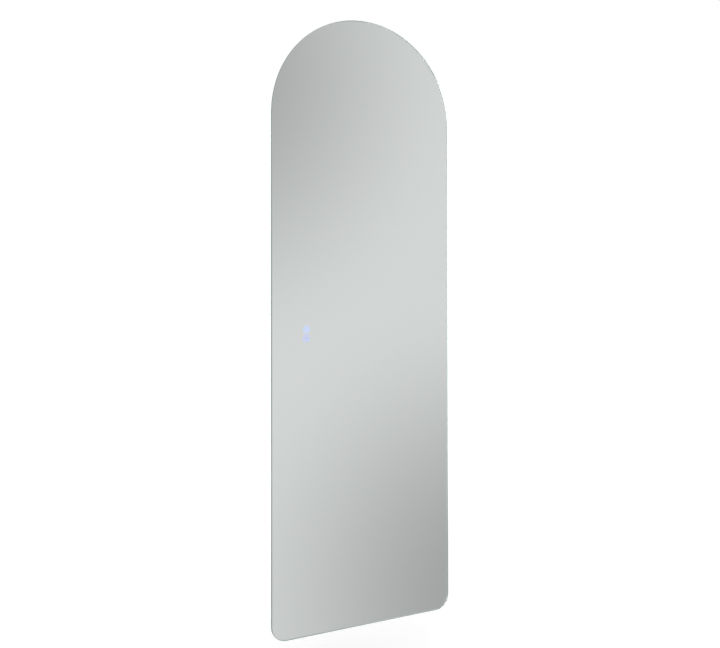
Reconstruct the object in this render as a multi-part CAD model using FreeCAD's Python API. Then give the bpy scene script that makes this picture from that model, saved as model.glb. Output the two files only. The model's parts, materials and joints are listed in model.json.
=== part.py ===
import FreeCAD, Part

import math
import os

# An arched, frameless bathroom mirror, lit from behind, with a heated anti-mist pad and two touch marks.
# A 5 mm pane hangs in front of an aluminium frame that follows its arch. The frame holds a light strip
# behind an opal cover on its outer side, so the light washes the wall round the mirror. The electrics sit
# in the open back of the frame. The whole mirror hooks over two steel rails that are screwed to the wall.
#
# Millimetres. +X is to the viewer's right, +Y runs into the wall and +Z is up. The wall is the plane Y = 0.
# The origin is on the wall, midway between the screw holes of the upper wall rail.

# ---- Pane and the layers on its back -------------------------------------------------------------------
WIDTH = 500.0
HEIGHT = 1500.0
CORNER_RADIUS = 38.0  # the two bottom corners; the top is a half circle
GLASS_THICK = 5.0
ARRIS = 1.0  # polished chamfer along both edges of the pane
TINY = 1e-4  # how far apart two places may be and still count as one
COAT_THICK = 0.2  # silver with its paint
COAT_MARGIN = 0.2  # from the pane's rear chamfer to the silver
FILM_THICK = 0.3  # safety film that holds the pieces if the pane breaks
FILM_MARGIN = 1.0  # from the silver's edge to the film's
TAPE_THICK = 1.0  # foam tape that bonds the frame to the film

# ---- Frame profile, measured inwards from its outer face and back from its front face --------------------
FRAME_INSET = 35.0  # from the pane's edge to the frame's outer face
FRAME_DEPTH = 27.5
WALL_GAP = 2.0  # from the frame's back to the wall, filled by the bumpers
PROFILE_WALL = 1.5
FOOT_WIDTH = 20.0
CHANNEL_DEPTH = 7.0  # recess for the light strip, open outwards
CHANNEL_WIDTH = 12.5
CHANNEL_START = 7.5
FLANGE_WIDTH = 13.5
TAPE_MARGIN = 1.0  # from the foot's edges to the tape
TAPE_BREAK = 1.0  # between two lengths of tape

# ---- Light strip and its cover ---------------------------------------------------------------------------
STRIP_WIDTH = 10.0
STRIP_THICK = 0.3
STRIP_BREAK = 12.0  # between the strip's two ends, at the top of the arch
CHIP_LENGTH = 2.8
CHIP_WIDTH = 3.5
CHIP_HEIGHT = 0.8
CHIP_PITCH = 25.0
COVER_THICK = 1.5
COVER_RECESS = 0.4
COVER_LEG = 3.5
COVER_LEG_THICK = 1.0
COVER_CLEARANCE = 0.1
COVER_BREAK = 0.6  # butt joint of the cover, at the middle of the bottom run

# ---- Joining plates and screws ---------------------------------------------------------------------------
PLATE_THICK = 2.0
PLATE_WIDTH = 12.0
BRACKET_LEG = 45.0
SPLICE_LEG = 34.0
SCREW_RADIUS = 1.9
SCREW_HEAD_RADIUS = 3.5
SCREW_HEAD_HEIGHT = 1.4
SCREW_CLEARANCE = 0.1
SCREW_NEAR = 14.0  # from a joint to the nearer screw of its plate
SCREW_STEP = 18.0  # to the farther one
SEAT_RELIEF = 0.1  # between a flat seat and the curved arch

# ---- Wall rails and the hangers that hook over them --------------------------------------------------------
RAIL_BELOW_ARCH = 100.0  # from the start of the arch down to the upper rail's holes
LOWER_RAIL_HEIGHT = 270.0  # from the pane's bottom edge up to the lower rail's holes
RAIL_LENGTH = 300.0
RAIL_THICK = 2.0
RAIL_FOOT = 28.0
RAIL_LIP = 14.0
RAIL_STAND_OFF = 8.0  # from the wall to the front of the lip
RAIL_HOLE_RADIUS = 2.75
RAIL_HOLE_SPACING = 240.0
RAIL_SLOT_LENGTH = 14.0  # the lower rail is slotted, so that it can be lined up
RAIL_CORNER = 5.0
RAIL_BEND = 1.0
HANGER_THICK = 1.5
HANGER_HEIGHT = 36.0
HANGER_FLANGE = 11.5
HANGER_END_GAP = 0.3
HANGER_SCREW_RISE = 9.0  # of the lower screw above the hanger's lower edge
HANGER_SCREW_SPACING = 18.0
NUT_FLATS = 7.0
NUT_HEIGHT = 3.2
BUMPER_LENGTH = 40.0
BUMPER_WIDTH = 10.0
BUMPER_BELOW_ARCH = 110.0  # from the start of the arch to the middle of the upper bumpers
LOWER_BUMPER_HEIGHT = 70.0  # from the frame's bottom to the middle of the lower ones

# ---- Electrics box -----------------------------------------------------------------------------------------
BOX_LENGTH = 210.0
BOX_HEIGHT = 76.0
BOX_DEPTH = 21.0
BOX_WALL = 2.0
BOX_CORNER = 6.0
BOX_RISE = 30.0  # of the box above the start of the arch
LID_THICK = 2.0
SEAL_THICK = 1.0
SEAL_WIDTH = 1.4
BOSS_RADIUS = 4.0
BOSS_INSET = 7.0
LID_SCREW_LENGTH = 10.0
PAD_WIDTH = 18.0  # foam tape under the box
DRIVER_CLEAR = 7.0  # from the box's left wall to the driver
DRIVER_WIDTH = 40.0
DRIVER_DEPTH = 16.0
TERMINAL_PITCH = 9.0
TERMINAL_WIDTH = 20.0
TERMINAL_DEPTH = 13.0
BOARD_THICK = 1.6
CONTROL_LENGTH = 26.0
CONTROL_WIDTH = 46.0
RELAY_SIZE = 12.0
RELAY_GAP = 3.0
STANDOFF_HEIGHT = 3.0
PART_GAP = 8.0  # between the parts in the box
WIRE_RADIUS = 1.0  # of the single wires in the box

# ---- Rubber grommets ---------------------------------------------------------------------------------------
SUPPLY_BORE = 4.0  # radius: an 8 mm supply cable
SUPPLY_RIM = 9.0
SUPPLY_NECK = 6.5
GROMMET_RIM = 5.0
GROMMET_NECK = 3.6
GROMMET_LIP = 1.2
GROMMET_FIT = 0.05

# ---- Anti-mist pad -----------------------------------------------------------------------------------------
HEATER_WIDTH = 300.0
HEATER_ABOVE_SENSOR = 17.0
HEATER_THICK = 0.4
HEATER_TOP = -20.0  # below the upper rail's holes
HEATER_CORNER = 12.0
JOINT_CAP_LENGTH = 30.0
JOINT_CAP_WIDTH = 18.0
JOINT_CAP_DEPTH = 6.0

# ---- Touch marks and the sensor behind them ----------------------------------------------------------------
MARK_FROM_EDGE = 91.5  # from the pane's left edge
MARK_BELOW_RAIL = 412.0  # from the upper rail's holes down to the upper mark
MARK_SPACING = 22.0
MARK_RADIUS = 8.4
MARK_STROKE = 1.5
CORE_RADIUS = 3.9
CORE_HOLE = 2.0
WAVE_CHORD = 3.8
WAVE_HALF_ANGLE = 40.0
WAVE_STROKE = 1.0
WAVE_PITCH = 1.7
FILTER_RADIUS = 9.5
FILTER_CLEARANCE = 0.1
CHAMBER_RADIUS = 8.9
MASK_DEPTH = 2.5
SENSOR_WIDTH = 36.0
SENSOR_HEIGHT = 62.0
SENSOR_DEPTH = 9.0
SENSOR_WALL = 1.5
SENSOR_CORNER = 4.0
SENSOR_LED = 1.6
SENSOR_LED_HEIGHT = 0.6
PLUG_WIDTH = 9.0
PLUG_HEIGHT = 6.0
PLUG_DEPTH = 4.0

# ---- Internal leads ----------------------------------------------------------------------------------------
LEAD_RADIUS = 2.0
EARTH_RADIUS = 1.5
LEAD_BEND = 14.0
EARTH_BEND = 9.0
BOX_ENTRY_DEPTH = 8.5  # of the leads' entries from the box's floor
CLIP_LENGTH = 14.0
CLIP_WIDTH = 9.0
CLIP_BASE = 1.0
CLIP_WALL = 0.9
CLIP_COUNT = 4  # up the side
CROSS_CLIP_COUNT = 2  # across, under the box
CLIP_SPARE = 45.0  # from a bend of the lead to the nearest clip
LUG_RADIUS = 4.2
LUG_THICK = 0.8
LUG_NECK = 6.0
EARTH_FROM_END = 46.0  # from the hanger's right end to the earth screw
CONNECTOR_HEIGHT = 2.0
CONNECTOR_OVERLAP = 3.0  # of the strip connector onto each end of the strip

# ---- Places worked out from the sizes above ----------------------------------------------------------------
Y_FRAME_BACK = -WALL_GAP
Y_FRAME = Y_FRAME_BACK - FRAME_DEPTH
Y_FILM = Y_FRAME - TAPE_THICK  # the film's back face, which carries the tape and the electrics
Y_COAT = Y_FILM - FILM_THICK
Y_GLASS = Y_COAT - COAT_THICK
Y_FRONT = Y_GLASS - GLASS_THICK
Z_SPRING = RAIL_BELOW_ARCH  # where the straight sides meet the half circle
Z_BOTTOM = Z_SPRING + WIDTH / 2 - HEIGHT
X_FRAME = WIDTH / 2 - FRAME_INSET
Z_FRAME = Z_BOTTOM + FRAME_INSET
WEB_OUTER = CHANNEL_DEPTH
WEB_INNER = CHANNEL_DEPTH + PROFILE_WALL
X_WEB = X_FRAME - WEB_INNER  # the web's inner face on the straight sides
Z_WEB = Z_FRAME + WEB_INNER
CHANNEL_END = CHANNEL_START + CHANNEL_WIDTH
Y_CHANNEL = Y_FRAME + CHANNEL_START + CHANNEL_WIDTH / 2  # the middle of the light channel
Y_FLANGE = Y_FRAME_BACK - PROFILE_WALL  # the front of the frame's back flange
RAIL_SHELF = RAIL_FOOT / 2  # height of the shelf that the hanger rests on, above the holes
HANGER_TOP = RAIL_SHELF + HANGER_HEIGHT
RAIL_HEIGHTS = {"upper": 0.0, "lower": Z_BOTTOM + LOWER_RAIL_HEIGHT}
Y_BOX = Y_FILM + TAPE_THICK
Y_BOX_FLOOR = Y_BOX + BOX_WALL
Y_RIM = Y_BOX + BOX_DEPTH
Y_LID = Y_RIM + SEAL_THICK
Z_BOX = Z_SPRING + BOX_RISE
Z_BOX_MIDDLE = Z_BOX + BOX_HEIGHT / 2
Z_BOX_TOP = Z_BOX + BOX_HEIGHT
X_BOX = BOX_LENGTH / 2
Y_ENTRY = Y_BOX_FLOOR + BOX_ENTRY_DEPTH
X_MARK = -WIDTH / 2 + MARK_FROM_EDGE
Z_LIGHT_MARK = -MARK_BELOW_RAIL
Z_HEAT_MARK = Z_LIGHT_MARK - MARK_SPACING
Z_SENSOR = (Z_LIGHT_MARK + Z_HEAT_MARK) / 2
Y_LEAD = Y_FILM + CLIP_BASE + LEAD_RADIUS
Y_BOARD = Y_FILM + MASK_DEPTH
TERMINAL_COUNT = 3
TERMINAL_LENGTH = TERMINAL_COUNT * TERMINAL_PITCH

HALF_TURN = 180.0  # degrees
X_AXIS = FreeCAD.Vector(1, 0, 0)
Y_AXIS = FreeCAD.Vector(0, 1, 0)
Z_AXIS = FreeCAD.Vector(0, 0, 1)


# ---- Shape helpers -----------------------------------------------------------------------------------------
def point(x, y, z):
    return FreeCAD.Vector(x, y, z)


def box(x_span, y_span, z_span):
    """A block between two values on each axis."""
    corner = point(min(x_span), min(y_span), min(z_span))
    sizes = [abs(span[1] - span[0]) for span in (x_span, y_span, z_span)]
    return Part.makeBox(*sizes, corner)


def centred(middle, size):
    """The span of a given size round a middle value."""
    return (middle - size / 2, middle + size / 2)


def rounded_box(x_span, y_span, z_span, radius):
    """A block whose four edges along Y are rounded."""
    block = box(x_span, y_span, z_span)
    edges = [e for e in block.Edges if e.BoundBox.YLength > abs(y_span[1] - y_span[0]) / 2]
    return block.makeFillet(radius, edges)


def cylinder(start, direction, radius, length):
    return Part.makeCylinder(radius, length, start, direction)


def fused(shapes):
    """One solid from several that touch or overlap."""
    return shapes[0].multiFuse(shapes[1:]).removeSplitter() if len(shapes) > 1 else shapes[0]


def mirrored(shape):
    """The same shape on the other side of the middle plane X = 0."""
    return shape.mirror(point(0, 0, 0), X_AXIS)


def rounded_along_x(shape, bends):
    """Rounds the edges along X that pass through each (y, z), with its radius."""
    for y, z, radius in bends:
        edges = [
            e
            for e in shape.Edges
            if e.BoundBox.YLength < TINY
            and e.BoundBox.ZLength < TINY
            and abs(e.BoundBox.YMin - y) < TINY
            and abs(e.BoundBox.ZMin - z) < TINY
        ]
        shape = shape.makeFillet(radius, edges)
    return shape


def arch_plate(inset, corner, y_front, thickness):
    """A plate of the mirror's outline, drawn in by inset, with its bottom corners rounded."""
    half = WIDTH / 2 - inset
    low = Z_BOTTOM + inset
    diagonal = corner * (1 - math.sqrt(0.5))
    top = Part.Arc(
        point(-half, y_front, Z_SPRING),
        point(0, y_front, Z_SPRING + half),
        point(half, y_front, Z_SPRING),
    )
    right = Part.LineSegment(point(half, y_front, Z_SPRING), point(half, y_front, low + corner))
    right_corner = Part.Arc(
        point(half, y_front, low + corner),
        point(half - diagonal, y_front, low + diagonal),
        point(half - corner, y_front, low),
    )
    base = Part.LineSegment(point(half - corner, y_front, low), point(corner - half, y_front, low))
    left_corner = Part.Arc(
        point(corner - half, y_front, low),
        point(diagonal - half, y_front, low + diagonal),
        point(-half, y_front, low + corner),
    )
    left = Part.LineSegment(point(-half, y_front, low + corner), point(-half, y_front, Z_SPRING))
    outline = Part.Wire([side.toShape() for side in (top, right, right_corner, base, left_corner, left)])
    return Part.Face(outline).extrude(point(0, thickness, 0))


def section(outline, place):
    """A flat face from (inward, back) points of the frame's cross-section, put in place by a function."""
    corners = [place(inward, back) for inward, back in outline]
    return Part.Face(Part.makePolygon(corners + corners[:1]))


def mitre_zone(corners):
    """A block through the whole depth whose outline in X and Z is given."""
    depth = 4 * FRAME_DEPTH
    flat = [point(x, -depth / 2, z) for x, z in corners]
    return Part.Face(Part.makePolygon(flat + flat[:1])).extrude(point(0, depth, 0))


def frame_runs(outline):
    """Four lengths of one cross-section round the frame: left, arch, right and bottom, mitred below."""
    reach = WEB_INNER + FLANGE_WIDTH
    start = section(outline, lambda n, d: point(n - X_FRAME, Y_FRAME + d, Z_FRAME))
    left = start.extrude(point(0, 0, Z_SPRING - Z_FRAME))
    left = left.common(
        mitre_zone(
            [
                (-X_FRAME - reach, Z_FRAME - reach),
                (reach - X_FRAME, Z_FRAME + reach),
                (reach - X_FRAME, Z_SPRING),
                (-X_FRAME - reach, Z_SPRING),
            ]
        )
    )
    spring = section(outline, lambda n, d: point(n - X_FRAME, Y_FRAME + d, Z_SPRING))
    arch = spring.revolve(point(0, 0, Z_SPRING), Y_AXIS, HALF_TURN)
    end = section(outline, lambda n, d: point(-X_FRAME, Y_FRAME + d, Z_FRAME + n))
    bottom = end.extrude(point(2 * X_FRAME, 0, 0))
    bottom = bottom.common(
        mitre_zone(
            [
                (-X_FRAME - reach, Z_FRAME - reach),
                (X_FRAME + reach, Z_FRAME - reach),
                (X_FRAME - reach, Z_FRAME + reach),
                (reach - X_FRAME, Z_FRAME + reach),
            ]
        )
    )
    return {"left": left, "arch": arch, "right": mirrored(left), "bottom": bottom}


def rectangle(inward, back):
    """The outline of a rectangle in the frame's cross-section."""
    return [(inward[0], back[0]), (inward[1], back[0]), (inward[1], back[1]), (inward[0], back[1])]


def screw(seat, into, length):
    """A pan-head screw whose head sits on seat and whose shank runs along into."""
    head = Part.makeCylinder(SCREW_HEAD_RADIUS, SCREW_HEAD_HEIGHT)
    rim = [e for e in head.Edges if abs(e.BoundBox.ZMin - SCREW_HEAD_HEIGHT) < TINY]
    head = head.makeFillet(SCREW_HEAD_HEIGHT * 0.6, rim)
    slot_length = SCREW_HEAD_RADIUS * 1.1
    slot_width = SCREW_HEAD_RADIUS * 0.25
    slot_depth = (SCREW_HEAD_HEIGHT * 0.45, SCREW_HEAD_HEIGHT * 2)
    cross = fused(
        [
            box(centred(0, slot_length), centred(0, slot_width), slot_depth),
            box(centred(0, slot_width), centred(0, slot_length), slot_depth),
        ]
    )
    body = fused([head.cut(cross), cylinder(point(0, 0, -length), Z_AXIS, SCREW_RADIUS, length)])
    body.Placement = FreeCAD.Placement(seat, FreeCAD.Rotation(point(0, 0, -1), into))
    return body


def screw_hole(seat, into, length):
    return cylinder(seat - into * length, into, SCREW_RADIUS + SCREW_CLEARANCE, 2 * length)


def tube(route, radius, bend):
    """A round lead along straight runs joined by arcs, no arc taking over 0.45 of a run beside it."""
    route = [point(*p) for p in route]
    edges = []
    here = route[0]
    for before, corner, after in zip(route, route[1:], route[2:]):
        back = before - corner
        ahead = after - corner
        turn = math.pi - back.getAngle(ahead)
        tangent = min(bend * math.tan(turn / 2), 0.45 * min(back.Length, ahead.Length))
        arc_radius = tangent / math.tan(turn / 2)
        back.normalize()
        ahead.normalize()
        inward = (back + ahead).normalize()
        start = corner + back * tangent
        end = corner + ahead * tangent
        to_centre = arc_radius / math.cos(turn / 2)
        middle = corner + inward * (to_centre - arc_radius)
        edges.append(Part.LineSegment(here, start).toShape())
        edges.append(Part.Arc(start, middle, end).toShape())
        here = end
    edges.append(Part.LineSegment(here, route[-1]).toShape())
    path = Part.Wire(edges)
    disc = Part.Wire(Part.makeCircle(radius, route[0], route[1] - route[0]))
    solid = path.makePipeShell([disc], True, False)
    share = solid.Volume / (math.pi * radius**2 * path.Length)
    print(f"lead, radius {radius}, bends {bend}: {path.Length:.1f} mm, {share:.4f} of section times length")
    return solid


def grommet(middle, along, wall, bore, rim, neck):
    """A rubber ring in a wall: a lip on each face, a neck through the wall and a bore. middle is mid-wall."""
    half = wall / 2 + GROMMET_LIP
    neck_body = cylinder(middle - along * (wall / 2), along, neck - GROMMET_FIT, wall)
    lips = [
        cylinder(middle - along * half, along, rim, GROMMET_LIP),
        cylinder(middle + along * (wall / 2), along, rim, GROMMET_LIP),
    ]
    return fused([neck_body] + lips).cut(cylinder(middle - along * half, along, bore, 2 * half))


# ---- Pane, silver and film ---------------------------------------------------------------------------------
def mirror_glass():
    pane = arch_plate(0, CORNER_RADIUS, Y_FRONT, GLASS_THICK)
    rims = [e for e in pane.Edges if e.BoundBox.YLength < TINY]
    return pane.makeChamfer(ARRIS, rims)


def band(centre_x, centre_z, radius, stroke, start, end):
    """A flat arc of a given stroke in the plane of the silver, from start to end degrees above +X."""

    def at(reach, angle):
        bearing = math.radians(angle)
        return point(centre_x + reach * math.cos(bearing), Y_GLASS, centre_z + reach * math.sin(bearing))

    inner = radius - stroke / 2
    outer = radius + stroke / 2
    middle = (start + end) / 2
    sides = [
        Part.Arc(at(inner, start), at(inner, middle), at(inner, end)),
        Part.LineSegment(at(inner, end), at(outer, end)),
        Part.Arc(at(outer, end), at(outer, middle), at(outer, start)),
        Part.LineSegment(at(outer, start), at(inner, start)),
    ]
    return Part.Face(Part.Wire([s.toShape() for s in sides])).extrude(point(0, COAT_THICK, 0))


def ring_mark(centre_z, outer, inner):
    disc = cylinder(point(X_MARK, Y_GLASS, centre_z), Y_AXIS, outer, COAT_THICK)
    return disc.cut(cylinder(point(X_MARK, Y_GLASS, centre_z), Y_AXIS, inner, COAT_THICK))


def wave_mark(centre_x, centre_z):
    """One upright wavy stroke: an arc that bows left above an arc that bows right."""
    radius = WAVE_CHORD / 2 / math.sin(math.radians(WAVE_HALF_ANGLE))
    to_centre = radius * math.cos(math.radians(WAVE_HALF_ANGLE))
    rise = WAVE_CHORD / 2
    spread = WAVE_HALF_ANGLE
    left = (HALF_TURN - spread, HALF_TURN + spread)
    upper = band(centre_x + to_centre, centre_z + rise, radius, WAVE_STROKE, *left)
    lower = band(centre_x - to_centre, centre_z - rise, radius, WAVE_STROKE, -spread, spread)
    return fused([upper, lower])


def touch_marks():
    """The openings etched in the silver: a ring round a small ring for light, a ring round waves for heat."""
    marks = [ring_mark(z, MARK_RADIUS, MARK_RADIUS - MARK_STROKE) for z in (Z_LIGHT_MARK, Z_HEAT_MARK)]
    marks.append(ring_mark(Z_LIGHT_MARK, CORE_RADIUS, CORE_HOLE))
    marks += [wave_mark(X_MARK + step * WAVE_PITCH, Z_HEAT_MARK) for step in (-1, 0, 1)]
    return marks


def silver_coat():
    inset = ARRIS + COAT_MARGIN
    coat = arch_plate(inset, CORNER_RADIUS - inset, Y_GLASS, COAT_THICK)
    return coat.cut(touch_marks())


def safety_film():
    inset = ARRIS + COAT_MARGIN + FILM_MARGIN
    film = arch_plate(inset, CORNER_RADIUS - inset, Y_COAT, FILM_THICK)
    radius = FILTER_RADIUS + FILTER_CLEARANCE
    windows = [
        cylinder(point(X_MARK, Y_COAT, z), Y_AXIS, radius, FILM_THICK) for z in (Z_LIGHT_MARK, Z_HEAT_MARK)
    ]
    return film.cut(windows)


def colour_filter(z):
    return cylinder(point(X_MARK, Y_COAT, z), Y_AXIS, FILTER_RADIUS, FILM_THICK)


# ---- Frame -------------------------------------------------------------------------------------------------
PROFILE = [
    (0, 0),
    (FOOT_WIDTH, 0),
    (FOOT_WIDTH, PROFILE_WALL),
    (WEB_INNER, PROFILE_WALL),
    (WEB_INNER, FRAME_DEPTH - PROFILE_WALL),
    (WEB_INNER + FLANGE_WIDTH, FRAME_DEPTH - PROFILE_WALL),
    (WEB_INNER + FLANGE_WIDTH, FRAME_DEPTH),
    (WEB_OUTER, FRAME_DEPTH),
    (WEB_OUTER, CHANNEL_END + PROFILE_WALL),
    (0, CHANNEL_END + PROFILE_WALL),
    (0, CHANNEL_END),
    (WEB_OUTER, CHANNEL_END),
    (WEB_OUTER, CHANNEL_START),
    (0, CHANNEL_START),
    (0, CHANNEL_START - PROFILE_WALL),
    (WEB_OUTER, CHANNEL_START - PROFILE_WALL),
    (WEB_OUTER, PROFILE_WALL),
    (0, PROFILE_WALL),
]


def bracket_seats():
    """Where the left corner bracket's screws sit, each with the way its shank points."""
    seats = []
    for step in (SCREW_NEAR, SCREW_NEAR + SCREW_STEP):
        seats.append((point(PLATE_THICK - X_WEB, Y_CHANNEL, Z_WEB + step), -X_AXIS))
        seats.append((point(step - X_WEB, Y_CHANNEL, Z_WEB + PLATE_THICK), -Z_AXIS))
    return seats


def splice_seats():
    """Where the left splice plate's screws sit: two on the straight side and two round the arch."""
    seats = []
    radius = X_WEB - PLATE_THICK
    for step in (SCREW_NEAR, SCREW_NEAR + SCREW_STEP / 2):
        seats.append((point(-radius, Y_CHANNEL, Z_SPRING - step), -X_AXIS))
        turn = step / radius
        outward = point(-math.cos(turn), 0, math.sin(turn))
        seats.append((point(0, Y_CHANNEL, Z_SPRING) + outward * (radius - SEAT_RELIEF), outward))
    return seats


def with_plate_holes(shape, seats):
    depth = PLATE_THICK + PROFILE_WALL * 1.5
    holes = [screw_hole(seat, into, depth) for seat, into in seats]
    return shape.cut(holes)


def corner_bracket():
    """The left bracket, an L that lies against the two webs inside the bottom corner."""
    depth = centred(Y_CHANNEL, PLATE_WIDTH)
    upright = box((-X_WEB, PLATE_THICK - X_WEB), depth, (Z_WEB, Z_WEB + BRACKET_LEG))
    level = box((-X_WEB, BRACKET_LEG - X_WEB), depth, (Z_WEB, Z_WEB + PLATE_THICK))
    return with_plate_holes(fused([upright, level]), bracket_seats())


def splice_plate():
    """The left splice, a strip that lies against the web where the side meets the arch."""
    depth = centred(Y_CHANNEL, PLATE_WIDTH)
    straight = box((-X_WEB, PLATE_THICK - X_WEB), depth, (Z_SPRING - SPLICE_LEG, Z_SPRING))
    corners = [point(x, y, Z_SPRING) for x, y in ((-X_WEB, depth[0]), (PLATE_THICK - X_WEB, depth[0]))]
    corners += [point(x, y, Z_SPRING) for x, y in ((PLATE_THICK - X_WEB, depth[1]), (-X_WEB, depth[1]))]
    end = Part.Face(Part.makePolygon(corners + corners[:1]))
    curved = end.revolve(point(0, 0, Z_SPRING), Y_AXIS, math.degrees(SPLICE_LEG / X_WEB))
    return with_plate_holes(fused([straight, curved]), splice_seats())


def hanger_seats():
    """Where the hangers' screws sit on the back of the left flange, each with the way its shank points."""
    x = FLANGE_WIDTH / 2 - X_WEB
    low = RAIL_SHELF + HANGER_SCREW_RISE
    return [
        (point(x, Y_FRAME_BACK, rail + low + step), -Y_AXIS)
        for rail in RAIL_HEIGHTS.values()
        for step in (0, HANGER_SCREW_SPACING)
    ]


def earth_seat():
    """The top of the lug, on the flange of the upper hanger, and the way of its screw."""
    x = X_WEB - HANGER_END_GAP - EARTH_FROM_END
    return (point(x, Y_FLANGE - HANGER_FLANGE / 2, HANGER_TOP + LUG_THICK), -Z_AXIS)


def feed_hole():
    """The hole in the top of the arch where the light strip's lead goes through."""
    top = Z_SPRING + X_WEB
    return cylinder(point(0, Y_CHANNEL, top - PROFILE_WALL), Z_AXIS, GROMMET_NECK, 3 * PROFILE_WALL)


def frame_parts():
    runs = frame_runs(PROFILE)
    plate_seats = bracket_seats() + splice_seats()
    left = with_plate_holes(runs["left"], plate_seats)
    left = left.cut([screw_hole(seat, into, 2 * PROFILE_WALL) for seat, into in hanger_seats()])
    arch = with_plate_holes(runs["arch"], splice_seats())
    arch = mirrored(with_plate_holes(mirrored(arch), splice_seats())).cut(feed_hole())
    bottom = with_plate_holes(runs["bottom"], bracket_seats())
    bottom = mirrored(with_plate_holes(mirrored(bottom), bracket_seats()))
    return {
        "frame_side_left": left,
        "frame_side_right": mirrored(left),
        "frame_arch": arch,
        "frame_bottom": bottom,
    }


def frame_screws():
    length = PLATE_THICK + PROFILE_WALL
    left = [screw(seat, into, length) for seat, into in bracket_seats() + splice_seats()]
    return left + [mirrored(one) for one in left]


def bonding_tape():
    """Foam tape between the frame's foot and the film, in four lengths."""
    inward = (TAPE_MARGIN, FOOT_WIDTH - TAPE_MARGIN)
    loop = fused(list(frame_runs(rectangle(inward, (-TAPE_THICK, 0))).values()))
    across = (-WIDTH, WIDTH)
    depth = (2 * Y_FILM, 0)
    breaks = [
        box(across, depth, centred(Z_SPRING, TAPE_BREAK)),
        box(centred(0, TAPE_BREAK), depth, (2 * Z_BOTTOM, 2 * HEIGHT)),
    ]
    return loop.cut(breaks)


# ---- Light -------------------------------------------------------------------------------------------------
def led_strip():
    """The flexible board on the outer face of the web, open at the top where its lead comes in."""
    middle = CHANNEL_START + CHANNEL_WIDTH / 2
    outline = rectangle((WEB_OUTER - STRIP_THICK, WEB_OUTER), centred(middle, STRIP_WIDTH))
    loop = fused(list(frame_runs(outline).values()))
    top = (Z_SPRING, Z_BOTTOM + HEIGHT)
    return loop.cut(box(centred(0, STRIP_BREAK), (Y_FRAME, 0), top))


def led_chips():
    """Light-emitting chips along the strip, evenly spaced on each side, round the arch and on the bottom."""
    face = WEB_OUTER - STRIP_THICK  # the strip's outer face, inward from the frame's
    depth = centred(Y_CHANNEL, CHIP_WIDTH)
    outer = X_FRAME - face
    upright = box((-outer - CHIP_HEIGHT, -outer), depth, centred(Z_SPRING, CHIP_LENGTH))
    level = box(centred(0, CHIP_LENGTH), depth, (Z_FRAME + face - CHIP_HEIGHT, Z_FRAME + face))
    chips = []

    side_length = Z_SPRING - Z_FRAME - CHIP_PITCH
    side_count = int(side_length // CHIP_PITCH)
    for index in range(side_count):
        chip = upright.translated(point(0, 0, -CHIP_PITCH / 2 - index * side_length / side_count))
        chips += [chip, mirrored(chip)]

    break_angle = math.degrees(STRIP_BREAK / outer)
    arch_angle = (HALF_TURN - break_angle) / 2
    arch_count = int(math.radians(arch_angle) * outer // CHIP_PITCH)
    for index in range(arch_count):
        chip = upright.copy()
        chip.rotate(point(0, 0, Z_SPRING), Y_AXIS, (index + 0.5) * arch_angle / arch_count)
        chips += [chip, mirrored(chip)]

    base_length = 2 * X_FRAME - CHIP_PITCH
    base_count = int(base_length // CHIP_PITCH)
    for index in range(base_count):
        x = (index + 0.5) * base_length / base_count - base_length / 2
        chips.append(level.translated(point(x, 0, 0)))
    return chips


def light_cover():
    """The opal channel that snaps between the frame's two ribs, over the chips."""
    front = CHANNEL_START + COVER_CLEARANCE
    back = CHANNEL_END - COVER_CLEARANCE
    face_end = COVER_RECESS + COVER_THICK
    leg_end = face_end + COVER_LEG
    outline = [
        (COVER_RECESS, front),
        (leg_end, front),
        (leg_end, front + COVER_LEG_THICK),
        (face_end, front + COVER_LEG_THICK),
        (face_end, back - COVER_LEG_THICK),
        (leg_end, back - COVER_LEG_THICK),
        (leg_end, back),
        (COVER_RECESS, back),
    ]
    loop = fused(list(frame_runs(outline).values()))
    return loop.cut(box(centred(0, COVER_BREAK), (2 * Y_FRAME, 0), (Z_BOTTOM, Z_BOTTOM + 2 * FRAME_INSET)))


# ---- Wall rails, hangers and bumpers -----------------------------------------------------------------------
def wall_rail(slotted):
    """A pressed strip: a foot on the wall, a shelf at its top edge and a lip that stands up in front."""
    length = centred(0, RAIL_LENGTH)
    lip_front = -RAIL_STAND_OFF
    lip_back = lip_front + RAIL_THICK
    shelf_low = RAIL_SHELF - RAIL_THICK
    lip_top = RAIL_SHELF + RAIL_LIP
    foot = box(length, (-RAIL_THICK, 0), (-RAIL_FOOT / 2, RAIL_SHELF))
    shelf = box(length, (lip_front, 0), (shelf_low, RAIL_SHELF))
    lip = box(length, (lip_front, lip_back), (shelf_low, lip_top))
    rail = fused([foot, shelf, lip])
    bends = [
        (lip_front, shelf_low, RAIL_BEND + RAIL_THICK / 2),
        (0, RAIL_SHELF, RAIL_BEND),
        (-RAIL_THICK, shelf_low, RAIL_BEND),
    ]
    rail = rounded_along_x(rail, bends)
    corners = [
        e
        for e in rail.Edges
        if e.BoundBox.XLength < TINY
        and e.BoundBox.ZLength < TINY
        and (abs(e.BoundBox.ZMin - lip_top) < TINY or abs(e.BoundBox.ZMin + RAIL_FOOT / 2) < TINY)
    ]
    rail = rail.makeFillet(RAIL_CORNER, corners)
    holes = []
    for x in centred(0, RAIL_HOLE_SPACING):
        reach = (RAIL_SLOT_LENGTH / 2 - RAIL_HOLE_RADIUS) if slotted else 0
        ends = [
            cylinder(point(x + side * reach, -RAIL_THICK, 0), Y_AXIS, RAIL_HOLE_RADIUS, RAIL_THICK)
            for side in (-1, 1)
        ]
        holes += ends
        if slotted:
            holes.append(box(centred(x, 2 * reach), (-RAIL_THICK, 0), centred(0, 2 * RAIL_HOLE_RADIUS)))
    return rail.cut(holes)


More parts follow.
